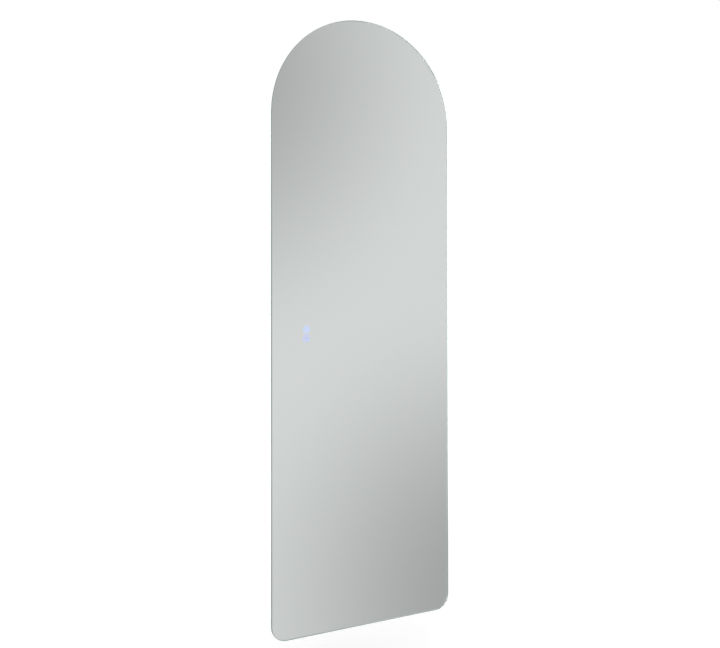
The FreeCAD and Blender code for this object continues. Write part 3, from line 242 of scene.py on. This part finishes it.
def arris_glass():
    """The chamfers: too thin to look green, and left a little less smooth than the faces."""
    look = Look("polished glass arris", (0.80, 0.96, 0.88), IOR=GLASS_INDEX, Transmission_Weight=1.0)
    wheels = wheel_marks(look)
    look.set(Base_Color=look.mix(wheels, (0.76, 0.94, 0.85), (0.84, 0.98, 0.91)))
    look.set(Roughness=look.span(wheels, 0.3, 0.7, 0.02, 0.06))
    return look.material


def silvering():
    """Silver seen through the glass, with the slightest mottle."""
    look = Look("silvering", (0.93, 0.95, 0.94), Metallic=1.0, Roughness=0.0)
    mottle = look.noise(3 * MM, 3.0)
    look.set(Base_Color=look.mix(mottle, (0.925, 0.947, 0.937), (0.935, 0.953, 0.943)))
    return look.material


def lit_filter(name, core, rim):
    """A translucent disc over its light: one blue in the middle and a lighter one towards the rim."""
    look = Look("filter " + name, (0.20, 0.32, 0.80), Roughness=0.35)
    across = look.vector("MULTIPLY", look.vector("SUBTRACT", look.place, middle(name)), (1, 0, 1))
    outward = look.span(look.vector("LENGTH", across), MARK_MIDDLE, MARK_RIM, smooth=True)
    look.set(Emission_Color=look.mix(outward, core, rim), Emission_Strength=MARK_LIGHT)
    look.bump(look.noise(0.4 * MM), 0.01 * MM)
    return look.material


def outline(inset):
    """(x, z) points round the pane, that far inside its edge, from the right spring line over the arch."""
    corner_x = HALF_WIDTH - CORNER_RADIUS
    corner_z = GLASS_LOW.z + CORNER_RADIUS
    arcs = [
        (0, SPRING_Z, HALF_WIDTH - inset, 0, math.pi, ARCH_STEPS),
        (-corner_x, corner_z, CORNER_RADIUS - inset, math.pi, 1.5 * math.pi, CORNER_STEPS),
        (corner_x, corner_z, CORNER_RADIUS - inset, 1.5 * math.pi, 2 * math.pi, CORNER_STEPS),
    ]
    points = []
    for centre_x, centre_z, radius, start, end, steps in arcs:
        for step in range(steps + 1):
            angle = start + (end - start) * step / steps
            points.append((centre_x + radius * math.cos(angle), centre_z + radius * math.sin(angle)))
    return points


def softened(corners, cut):
    """An open run of 2-D points with each inner corner rounded over that distance."""
    run = [Vector(corners[0])]
    for before, corner, after in zip(corners, corners[1:], corners[2:]):
        before, corner, after = Vector(before), Vector(corner), Vector(after)
        start = corner + (before - corner).normalized() * cut
        end = corner + (after - corner).normalized() * cut
        for step in range(SOFTENING_STEPS + 1):
            t = step / SOFTENING_STEPS
            run.append(start * (1 - t) ** 2 + corner * 2 * t * (1 - t) + end * t**2)
    run.append(Vector(corners[-1]))
    return run


def add_piece(name, mesh, body, materials):
    piece = bpy.data.objects.new(name, mesh)
    bpy.context.scene.collection.objects.link(piece)
    for material in materials:
        mesh.materials.append(material)
    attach(piece, body)
    return piece


def mesh_from(name, bm):
    mesh = bpy.data.meshes.new(name)
    bmesh.ops.recalc_face_normals(bm, faces=bm.faces)
    bm.to_mesh(mesh)
    bm.free()
    return mesh


def add_pane():
    """The pane, in one closed mesh: two flat faces and a rounded, chamfered edge between them."""
    front, back = GLASS_LOW.y, GLASS_HIGH.y + BOND
    reach = 3 * ARRIS
    section = softened(
        [(reach, front), (ARRIS, front), (0, front + ARRIS), (0, back - ARRIS), (ARRIS, back), (reach, back)],
        SOFTENING,
    )
    bm = bmesh.new()
    rings = []
    for inset, y in section:
        rings.append([bm.verts.new((x, y, z)) for x, z in outline(inset)])
    band_looks = [ARRIS_LOOK] * (len(rings) - 1)
    band_looks[0] = band_looks[-1] = FACE_LOOK
    band_looks[len(band_looks) // 2] = SIDE_LOOK
    for first, second, look in zip(rings, rings[1:], band_looks):
        for index in range(len(first)):
            following = (index + 1) % len(first)
            face = bm.faces.new((first[index], first[following], second[following], second[index]))
            face.smooth = look != FACE_LOOK
            face.material_index = look
    for ring in (rings[0], rings[-1]):
        bm.faces.new(ring)
    looks = [LOOKS["glass"], edge_glass(), arris_glass()]
    pane = add_piece("mirror_pane", mesh_from("mirror_pane", bm), "mirror", looks)
    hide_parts("mirror_glass")


# ---- Metals ------------------------------------------------------------------------------------------------
def anodised(name, along):
    """Satin extruded aluminium. Its die lines run along the length: "x", "z" or round the "arch"."""
    stretch = 0.008  # of the pattern along a straight length, which draws the grain out
    reel = 0.002  # metres of pattern in a radian, which draws it out round the arch
    look = Look("anodised " + name, (0.74, 0.75, 0.76), Metallic=1.0)
    if along == "arch":
        x, y, z = look.split(look.place)
        height = look.math("SUBTRACT", z, SPRING_Z)
        radius = look.vector("LENGTH", look.joined(x, 0.0, height))
        turn = look.math("ARCTAN2", height, x)
        at = look.joined(radius, y, look.math("MULTIPLY", turn, reel))
    else:
        at = look.stretched(stretch, 1, 1) if along == "x" else look.stretched(1, 1, stretch)
    lines = look.noise(0.35 * MM, 3.0, at=at, roughness=0.7)
    cloud = look.noise(40 * MM, 2.0)
    tone = look.math("ADD", look.math("MULTIPLY", lines, 0.6), look.math("MULTIPLY", cloud, 0.4))
    look.set(Base_Color=look.mix(tone, (0.66, 0.67, 0.68), (0.82, 0.83, 0.84)))
    look.set(Roughness=look.span(tone, 0.25, 0.75, 0.42, 0.28))
    look.bump(lines, 0.012 * MM)
    return look.material


def mill_aluminium():
    """Mill-finish strip, its grain drawn out along Y."""
    look = Look("mill aluminium", (0.68, 0.69, 0.70), Metallic=1.0)
    lines = look.noise(0.2 * MM, 3.0, at=look.stretched(1, 0.05, 1))
    look.set(Base_Color=look.mix(lines, (0.60, 0.61, 0.62), (0.76, 0.77, 0.78)))
    look.set(Roughness=look.span(lines, 0.3, 0.7, 0.30, 0.45))
    look.bump(lines, 0.01 * MM)
    return look.material


def galvanised():
    """Zinc-coated sheet: flat crystals of the coating, each with its own tone and grain."""
    look = Look("galvanised steel", (0.66, 0.68, 0.69), Metallic=1.0)
    warp_rate, warp_reach = 300.0, 1.6 * MM  # swirls in a metre, and how far they pull the crystals' edges
    swirl = look.node("TexNoise", {"Vector": look.place, "Scale": warp_rate}).outputs["Color"]
    warp = look.vector("MULTIPLY", swirl, (warp_reach,) * 3)
    crystals = look.cells(7 * MM, at=look.vector("ADD", look.place, warp))
    tone = look.split(crystals.outputs["Color"])[0]
    feather = look.noise(0.5 * MM, 3.0, at=look.vector("ADD", look.stretched(1, 1, 0.3), warp))
    shade = look.math("ADD", look.math("MULTIPLY", tone, 0.75), look.math("MULTIPLY", feather, 0.25))
    look.set(Base_Color=look.mix(shade, (0.50, 0.52, 0.535), (0.80, 0.815, 0.82)))
    look.set(Roughness=look.span(shade, 0.1, 0.9, 0.46, 0.26))
    seed = look.span(crystals.outputs["Distance"], 0.0, 0.004)  # a pinprick where each crystal started
    look.bump(look.math("ADD", feather, seed), 0.012 * MM)
    return look.material


def plated(name, dark, light, roughness=(0.18, 0.34)):
    """Bright plated metal with the faint bloom of handling and of the bath."""
    look = Look(name, light, Metallic=1.0)
    bloom = look.noise(1.6 * MM, 3.0)
    scratches = look.noise(0.15 * MM, 2.0, at=look.stretched(1, 1, 0.2))
    look.set(Base_Color=look.mix(look.span(bloom, 0.3, 0.7), dark, light))
    look.set(Roughness=look.span(scratches, 0.3, 0.7, *roughness))
    look.bump(scratches, 0.006 * MM)
    return look.material


# ---- Plastics, rubber and film -----------------------------------------------------------------------------
def moulded(name, colour, depth=0.02 * MM, roughness=(0.42, 0.56)):
    """Moulded plastic: a spark-eroded grain, slow clouds of tone and a little unevenness of gloss."""
    look = Look(name, colour)
    cloud = look.noise(18 * MM, 3.0)
    spread = 0.04  # of the tone, to each side
    darker = tuple(c * (1 - spread) for c in colour)
    lighter = tuple(min(1.0, c * (1 + spread)) for c in colour)
    look.set(Base_Color=look.mix(look.span(cloud, 0.3, 0.7), darker, lighter))
    fine = look.noise(0.35 * MM, 2.0)
    look.set(Roughness=look.span(fine, 0.3, 0.7, *roughness))
    look.bump(fine, depth)
    return look.material


def safety_film():
    """Pale film with a net of threads in it, pressed on with a few slight crease lines, whose hollows are
    darkened with painted shade.
    """
    look = Look("safety film", (0.54, 0.56, 0.57))
    x, _, z = look.split(look.place)
    pitch = 4 * MM
    waver, waver_rate = 0.15 * MM, 60.0  # how far a thread strays to each side, and radians of it in a metre
    threads = []
    for across, along in ((x, z), (z, x)):
        wander = look.math("MULTIPLY", look.math("SINE", look.math("MULTIPLY", along, waver_rate)), waver)
        place = look.math("DIVIDE", look.math("ADD", across, wander), pitch)
        ripple = look.math("ABSOLUTE", look.math("SUBTRACT", look.math("FRACT", place), 0.5))
        threads.append(look.span(ripple, 0.03, 0.10, 1.0, 0.0, smooth=True))
    net = look.math("MAXIMUM", *threads)
    crease_relief_and_shade = look.noise(60 * MM, 3.0, distortion=0.6)
    # painted shade: the film is darker where its crease relief is low
    film_with_crease_shade = look.mix(look.span(crease_relief_and_shade, 0.35, 0.65), (0.50, 0.52, 0.535), (0.56, 0.58, 0.59))
    look.set(Base_Color=look.mix(net, film_with_crease_shade, (0.66, 0.675, 0.68)))
    look.set(Roughness=look.span(net, 0.0, 1.0, 0.34, 0.55))
    slow = look.bump(crease_relief_and_shade, 0.5 * MM)
    look.bump(net, 0.05 * MM, under=slow)
    return look.material


def foam(name, colour):
    """Closed-cell foam, with painted shade darkening its sunken pores."""
    look = Look(name, colour, Specular_IOR_Level=0.2)
    pores = look.cells(0.5 * MM).outputs["Distance"]
    pore_relief_and_shade = look.span(pores, 0.1, 0.7)
    # painted shade: the colour falls to 0.78 of itself in the pits that the bump sinks
    look.set(Base_Color=look.mix(pore_relief_and_shade, tuple(c * 0.78 for c in colour), colour))
    look.set(Roughness=look.span(pore_relief_and_shade, 0.0, 1.0, 0.95, 0.8))
    look.bump(pore_relief_and_shade, 0.08 * MM)
    return look.material


def rubber():
    """Black rubber with a little dust on it."""
    look = Look("black rubber", (0.03, 0.03, 0.032), Specular_IOR_Level=0.35)
    dust = look.noise(3 * MM, 4.0, roughness=0.7)
    look.set(Base_Color=look.mix(look.span(dust, 0.45, 0.75), (0.026, 0.026, 0.028), (0.07, 0.07, 0.068)))
    fine = look.noise(0.25 * MM, 2.0)
    look.set(Roughness=look.span(fine, 0.3, 0.7, 0.62, 0.85))
    look.bump(fine, 0.03 * MM)
    return look.material


def opal():
    """Diffusing plastic, lit from inside, rising and falling about once for each chip."""
    look = Look("opal cover", (0.93, 0.94, 0.93), Roughness=0.4)
    x, _, z = look.split(look.place)
    along = look.math("ADD", x, z)
    wave = look.math("SINE", look.math("MULTIPLY", along, 2 * math.pi / CHIP_PITCH))
    look.set(Emission_Color=(1.0, 0.97, 0.9, 1.0), Emission_Strength=look.span(wave, -1.0, 1.0, 0.10, 0.20))
    look.bump(look.noise(0.3 * MM), 0.01 * MM)
    return look.material


def chip():
    """A lit chip under its speckled phosphor."""
    look = Look("light chip", (0.95, 0.88, 0.5), Roughness=0.3)
    spots = look.noise(0.4 * MM, 2.0)
    look.set(Base_Color=look.mix(spots, (0.93, 0.84, 0.42), (0.97, 0.92, 0.6)))
    look.set(Emission_Color=(1.0, 0.95, 0.8, 1.0), Emission_Strength=look.span(spots, 0.3, 0.7, 1.2, 1.5))
    return look.material


def circuit(name, colour, track_colour):
    """A printed board: tracks a little raised and lighter under the lacquer."""
    look = Look(name, colour, Coat_Weight=0.4)
    grid = look.cells(3.2 * MM, feature="DISTANCE_TO_EDGE").outputs["Distance"]
    tracks = look.span(grid, 0.06, 0.1, 1.0, 0.0)
    look.set(Base_Color=look.mix(tracks, colour, track_colour))
    look.set(Roughness=look.span(look.noise(0.8 * MM), 0.3, 0.7, 0.28, 0.4))
    look.bump(tracks, 0.03 * MM)
    return look.material


def heater_film():
    """Clear film over the pad's paper, slightly cockled by the heat of its track, with painted shade in the
    hollows of the cockling.
    """
    look = Look("heater film", (0.79, 0.80, 0.78), Coat_Weight=0.5, Coat_Roughness=0.12)
    cockle_relief_and_shade = look.noise(22 * MM, 3.0, distortion=0.4)
    fibre = look.noise(0.7 * MM, 3.0)
    # painted shade: the film is darker where its cockled relief is low
    look.set(Base_Color=look.mix(look.span(cockle_relief_and_shade, 0.3, 0.7), (0.74, 0.75, 0.72), (0.82, 0.83, 0.80)))
    look.set(Roughness=look.span(fibre, 0.3, 0.7, 0.35, 0.5))
    slow = look.bump(cockle_relief_and_shade, 0.35 * MM)
    look.bump(fibre, 0.01 * MM, under=slow)
    return look.material


def foil():
    """Rolled foil, crinkled where it was pressed down."""
    look = Look("heater foil", (0.80, 0.80, 0.79), Metallic=1.0)
    crinkle = look.cells(2.4 * MM, feature="SMOOTH_F1").outputs["Distance"]
    rolled = look.noise(0.2 * MM, 2.0, at=look.stretched(0.05, 1, 1))
    look.set(Base_Color=look.mix(rolled, (0.70, 0.70, 0.69), (0.88, 0.88, 0.87)))
    look.set(Roughness=look.span(rolled, 0.3, 0.7, 0.24, 0.4))
    look.bump(crinkle, 0.05 * MM)
    return look.material


def jacket(name, colour):
    """Flexible insulation: a soft sheen, faint drag lines and the odd scuff."""
    look = Look(name, colour)
    scuffs = look.noise(2.5 * MM, 4.0, roughness=0.7)
    darker = tuple(c * 0.9 for c in colour)
    look.set(Base_Color=look.mix(look.span(scuffs, 0.5, 0.8), colour, darker))
    look.set(Roughness=look.span(scuffs, 0.3, 0.7, 0.38, 0.55))
    look.bump(look.noise(0.3 * MM), 0.012 * MM)
    return look.material


def earth_jacket():
    """Green insulation with a yellow stripe along the side that faces the wall and along the other side."""
    look = Look("earth jacket", (0.10, 0.36, 0.08), Roughness=0.4)
    normal = look.node("TexCoord").outputs["Normal"]
    facing = look.math("ABSOLUTE", look.split(normal)[1])
    stripe = look.span(facing, 0.70, 0.74)
    look.set(Base_Color=look.mix(stripe, (0.06, 0.30, 0.07), (0.80, 0.68, 0.05)))
    look.bump(look.noise(0.3 * MM), 0.012 * MM)
    return look.material


# ---- Anti-mist pad -----------------------------------------------------------------------------------------
FOIL_WIDTH = 5.5 * MM
FOIL_PITCH = 8 * MM
FOIL_MARGIN = 9 * MM  # from the pad's edge to the track's centre line
FOIL_THICK = 0.06 * MM  # how far the track stands above the pad
FOIL_BEND_STEPS = 10


def foil_route():
    """Centre line of the pad's track: upright runs joined by half turns, and a return run along the top."""
    low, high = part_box("heater_pad")
    cap = middle("heater_joint")
    left, right = low.x + FOIL_MARGIN, high.x - FOIL_MARGIN
    bottom, top = low.z + FOIL_MARGIN, high.z - FOIL_MARGIN
    count = int((right - left) / FOIL_PITCH) // 2 * 2 + 1
    pitch = (right - left) / count
    radius = pitch / 2
    run_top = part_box("heater_joint")[0].z - FOIL_PITCH
    route = [(cap.x + FOIL_PITCH, cap.z), (right, cap.z)]
    for index in range(count):
        turn_x = right - (index + 0.5) * pitch
        side, turn_z = (-1, bottom + radius) if index % 2 == 0 else (1, run_top - radius)
        for step in range(FOIL_BEND_STEPS + 1):
            angle = math.pi * step / FOIL_BEND_STEPS
            route.append((turn_x + radius * math.cos(angle), turn_z + side * radius * math.sin(angle)))
    return route + [(left, top), (cap.x - FOIL_PITCH, top), (cap.x - FOIL_PITCH, cap.z)]


def ribbon(name, route, width, back, thick):
    """A flat strip along (x, z) points, from y = back. Its edges meet at each corner's half angle."""
    points = [Vector(p) for p in route]
    bm = bmesh.new()
    rows = []
    for index, here in enumerate(points):
        before = points[max(index - 1, 0)]
        after = points[min(index + 1, len(points) - 1)]
        arriving = (here - before).normalized() if index else (after - here).normalized()
        leaving = (after - here).normalized() if here != after else arriving
        onward = (arriving + leaving).normalized()
        side = Vector((-onward.y, onward.x)) * (width / 2 / max(0.5, onward.dot(leaving)))
        far = back + thick
        corners = [(here + side, far), (here - side, far), (here - side, back), (here + side, back)]
        rows.append([bm.verts.new((p.x, y, p.y)) for p, y in corners])
    for first, second in zip(rows, rows[1:]):
        for index in range(4):
            following = (index + 1) % 4
            bm.faces.new((first[index], first[following], second[following], second[index]))
    bm.faces.new(rows[0])
    bm.faces.new(rows[-1])
    return mesh_from(name, bm)


def add_foil_track():
    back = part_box("heater_pad")[1].y
    mesh = ribbon("heater_track", foil_route(), FOIL_WIDTH, back - FOIL_THICK, 2 * FOIL_THICK)
    add_piece("heater_track", mesh, "mirror", [foil()])


# ---- Room --------------------------------------------------------------------------------------------------
# Bearings are degrees to the right of -Y, and heights are degrees above the horizon.
FLOOR_DROP = 0.15  # from the pane's lowest edge to the floor
FLOOR_RADIUS = 30.0
FADE_START, FADE_END = 0.5, 3.0  # from the mirror to where the floor has merged with the background
NEAR_LIFT, FAR_LIFT = 0.27, 0.70  # how much whiter than its lit self the camera sees the floor
PLAIN_LEVEL = 0.45  # what the surroundings give to every matt surface
PANE_RETURN = 0.932  # share of the light that the silvered pane sends back
REFLECTED_GREY = 0.657  # the front of the studio, as the pane shows it
SOFT_SPOTS = [  # bearing and height of each darker patch in front, and how dark it is
    (15.96, 13.84, 0.312),
    (38.72, -19.39, 0.320),
]
SPOT_SPREAD = 19.75  # degrees from the middle of a patch to its end
LEFT_LIGHT = -44.0, -58.0  # bearings between which the grey turns into the light at the left
LEFT_LOWEST = 0.38  # that light at its foot
LEFT_RISES = [  # heights between which it grows, and by how much
    (-15.5, -10.5, 0.40),
    (-10.5, 0.0, 0.36),
]
FAR_RIGHT = 35.5, 43.0  # bearings between which the grey falls to its level at the far right
FAR_RIGHT_LEVEL = 0.37
WALL_BLEND = 0.35  # sine of the angle on each side of the wall over which front and rear blend
REAR_HEIGHTS = -0.7, 0.9  # sines of the heights between which the rear grows lighter, as metal reflects it
REAR_LEVELS = 0.45, 1.0
RIM_GREY = 0.42  # the rear as the pane's edge shows it, beside the strip light
STRIP_SIDES = 0.15, 0.17  # sines of the angles to each side of +Y between which the strip light ends
STRIP_FOOT = -0.26, 0.0  # sines of the heights between which it comes up to its full level
STRIP_LEVEL = 4.4


def bearing_vector(bearing, height):
    """Unit vector at that many degrees to the right of -Y and above the horizon."""
    across, up = math.radians(bearing), math.radians(height)
    return (math.sin(across) * math.cos(up), -math.cos(across) * math.cos(up), math.sin(up))


def sines(*angles):
    """The sines of angles in degrees."""
    return [math.sin(math.radians(angle)) for angle in angles]


def studio_front(graph, direction, across, up):
    """The studio in front of the wall: grey, with soft patches, a light at the left and a dark far right."""
    grey = REFLECTED_GREY / PANE_RETURN
    for bearing, height, depth in SOFT_SPOTS:
        towards = graph.vector("DOT_PRODUCT", direction, bearing_vector(bearing, height))
        inside = graph.span(towards, math.cos(math.radians(SPOT_SPREAD)), 1.0)
        dark = graph.math("MULTIPLY", graph.math("POWER", inside, 2.0), depth / PANE_RETURN)
        grey = graph.math("SUBTRACT", grey, dark)
    left = LEFT_LOWEST
    for start, end, gain in LEFT_RISES:
        left = graph.math("ADD", left, graph.span(up, *sines(start, end), 0.0, gain, smooth=True))
    leftward = graph.span(across, *sines(*LEFT_LIGHT), smooth=True)
    rightward = graph.span(across, *sines(*FAR_RIGHT), smooth=True)
    front = graph.mix(rightward, graph.joined(grey, grey, grey), (FAR_RIGHT_LEVEL,) * 3)
    return graph.mix(leftward, front, graph.joined(left, left, left))


def studio_rear(graph, across, up, through_glass):
    """The studio behind the wall: a sky for metal, and for the pane's edge a strip light on plain grey."""
    sky = graph.span(up, *REAR_HEIGHTS, *REAR_LEVELS, smooth=True)
    beside = graph.math("ABSOLUTE", across)
    strip = graph.span(beside, *STRIP_SIDES, 1.0, 0.0, smooth=True)
    strip = graph.math("MULTIPLY", strip, graph.span(up, *STRIP_FOOT, RIM_GREY, STRIP_LEVEL))
    strip = graph.math("MAXIMUM", strip, RIM_GREY)
    return graph.mix(through_glass, graph.joined(sky, sky, sky), graph.joined(strip, strip, strip))


def add_surroundings():
    """White to the camera, an even pale light on matt surfaces, and a soft grey studio in gloss and glass."""
    world = bpy.data.worlds.new("studio")
    bpy.context.scene.world = world
    world.use_nodes = True
    graph = Graph(world.node_tree)
    direction = graph.node("TexCoord").outputs["Generated"]
    path = graph.node("LightPath").outputs
    across, forward, up = graph.split(direction)
    front = studio_front(graph, direction, across, up)
    rear = studio_rear(graph, across, up, path["Is Transmission Ray"])
    behind = graph.span(forward, -WALL_BLEND, WALL_BLEND, smooth=True)
    studio = graph.mix(behind, front, rear)
    polished = graph.math("MAXIMUM", path["Is Glossy Ray"], path["Is Transmission Ray"])
    seen = graph.mix(polished, (PLAIN_LEVEL,) * 3, studio)
    seen = graph.mix(path["Is Camera Ray"], seen, (1.0, 1.0, 1.0))
    background = graph.node("Background", {"Color": seen, "Strength": 1.0})
    output = graph.node("OutputWorld")
    graph.tree.links.new(background.outputs[0], output.inputs["Surface"])


def add_floor():
    """A plain pale floor that the camera sees as white, with the mirror's shadow on it."""
    bm = bmesh.new()
    bmesh.ops.create_circle(bm, cap_ends=True, segments=96, radius=FLOOR_RADIUS)
    mesh = mesh_from("floor", bm)
    floor = bpy.data.objects.new("floor", mesh)
    floor.location.z = GLASS_LOW.z - FLOOR_DROP
    bpy.context.scene.collection.objects.link(floor)
    floor.visible_glossy = False
    floor.visible_transmission = False
    look = Look("pale floor", (0.86, 0.86, 0.86), Roughness=0.9, Specular_IOR_Level=0.1)
    camera = look.node("LightPath").outputs["Is Camera Ray"]
    away = look.vector("LENGTH", look.place)
    fade = look.span(away, FADE_START, FADE_END, NEAR_LIFT, FAR_LIFT, smooth=True)
    look.set(Emission_Color=(1.0, 1.0, 1.0, 1.0), Emission_Strength=look.math("MULTIPLY", camera, fade))
    look.open_from_behind()
    mesh.materials.append(look.material)


LAMPS = [  # name, place, what it points at, width and height, watts, whether gloss and glass show it
    ("back key", (1.9, 2.0, 1.2), (0, 0, -0.2), (1.4, 2.0), 20.0, True),
    ("back fill", (-2.2, 1.6, -0.2), (0, 0, -0.4), (1.0, 2.2), 9.0, True),
    ("front", (-1.6, -2.4, 1.6), (0, 0, -0.3), (2.0, 2.0), 20.0, False),
    ("top", (0.2, 0.1, 2.2), (0, 0, -0.4), (2.4, 2.4), 40.0, False),
]


def add_softbox(name, at, towards, size, power, shown):
    data = bpy.data.lights.new(name, "AREA")
    data.shape = "RECTANGLE"
    data.size, data.size_y = size
    data.energy = power
    lamp = bpy.data.objects.new(name, data)
    lamp.location = at
    lamp.rotation_mode = "QUATERNION"
    lamp.rotation_quaternion = (Vector(towards) - Vector(at)).to_track_quat("-Z", "Y")
    lamp.visible_glossy = shown
    lamp.visible_transmission = shown
    bpy.context.scene.collection.objects.link(lamp)


# ---- Making ------------------------------------------------------------------------------------------------
LOOKS = {
    "glass": clear_glass(),
    "silver": silvering(),
    "backing_film": safety_film(),
    "foam_tape": foam("foam tape", (0.88, 0.88, 0.86)),
    "frame_aluminium": anodised("upright", "z"),
    "plate_aluminium": mill_aluminium(),
    "zinc_steel": galvanised(),
    "zinc_screw": plated("zinc plate", (0.60, 0.62, 0.66), (0.80, 0.80, 0.76)),
    "strip_board": circuit("strip board", (0.90, 0.90, 0.88), (0.84, 0.80, 0.66)),
    "led_chip": chip(),
    "opal": opal(),
    "box_plastic": moulded("box plastic", (0.86, 0.86, 0.85)),
    "case_plastic": moulded("case plastic", (0.035, 0.035, 0.038), depth=0.03 * MM),
    "black_rubber": rubber(),
    "driver_case": moulded("driver case", (0.80, 0.81, 0.82)),
    "block_nylon": moulded("block nylon", (0.84, 0.83, 0.78), depth=0.008 * MM, roughness=(0.3, 0.42)),
    "brass": plated("brass", (0.62, 0.46, 0.18), (0.82, 0.66, 0.32)),
    "lug_tin": plated("tinned copper", (0.66, 0.66, 0.64), (0.86, 0.86, 0.84), (0.22, 0.4)),
    "board": circuit("green board", (0.03, 0.20, 0.08), (0.07, 0.34, 0.14)),
    "relay": moulded("relay case", (0.06, 0.16, 0.46), depth=0.006 * MM, roughness=(0.22, 0.34)),
    "black_foam": foam("black foam", (0.04, 0.04, 0.04)),
    "blue_chip": moulded("blue chip", (0.70, 0.80, 0.98), depth=0.004 * MM, roughness=(0.2, 0.3)),
    "heater_foil": heater_film(),
    "lead_jacket": jacket("white jacket", (0.84, 0.84, 0.82)),
    "wire_jacket": jacket("wire jacket", (0.08, 0.18, 0.52)),
    "earth_jacket": earth_jacket(),
    "clip_nylon": moulded("clip nylon", (0.88, 0.88, 0.85), depth=0.01 * MM, roughness=(0.35, 0.48)),
}
OWN_LOOKS = {
    "frame_arch": anodised("arch", "arch"),
    "frame_bottom": anodised("bottom", "x"),
    "filter_light": lit_filter("filter_light", (0.41, 0.51, 0.95), (0.38, 0.55, 1.0)),
    "filter_heat": lit_filter("filter_heat", (0.30, 0.32, 0.86), (0.34, 0.43, 1.0)),
}

for part in frame["record"]["subparts"]:
    node = part["node"]
    look = OWN_LOOKS.get(node) or LOOKS[part["material_slot"]]
    for place in NODES[node].material_slots:
        place.material = look

bpy.context.scene.view_settings.view_transform = "Standard"
add_camera()
add_pane()
add_foil_track()
add_surroundings()
add_floor()
for lamp in LAMPS:
    add_softbox(*lamp)
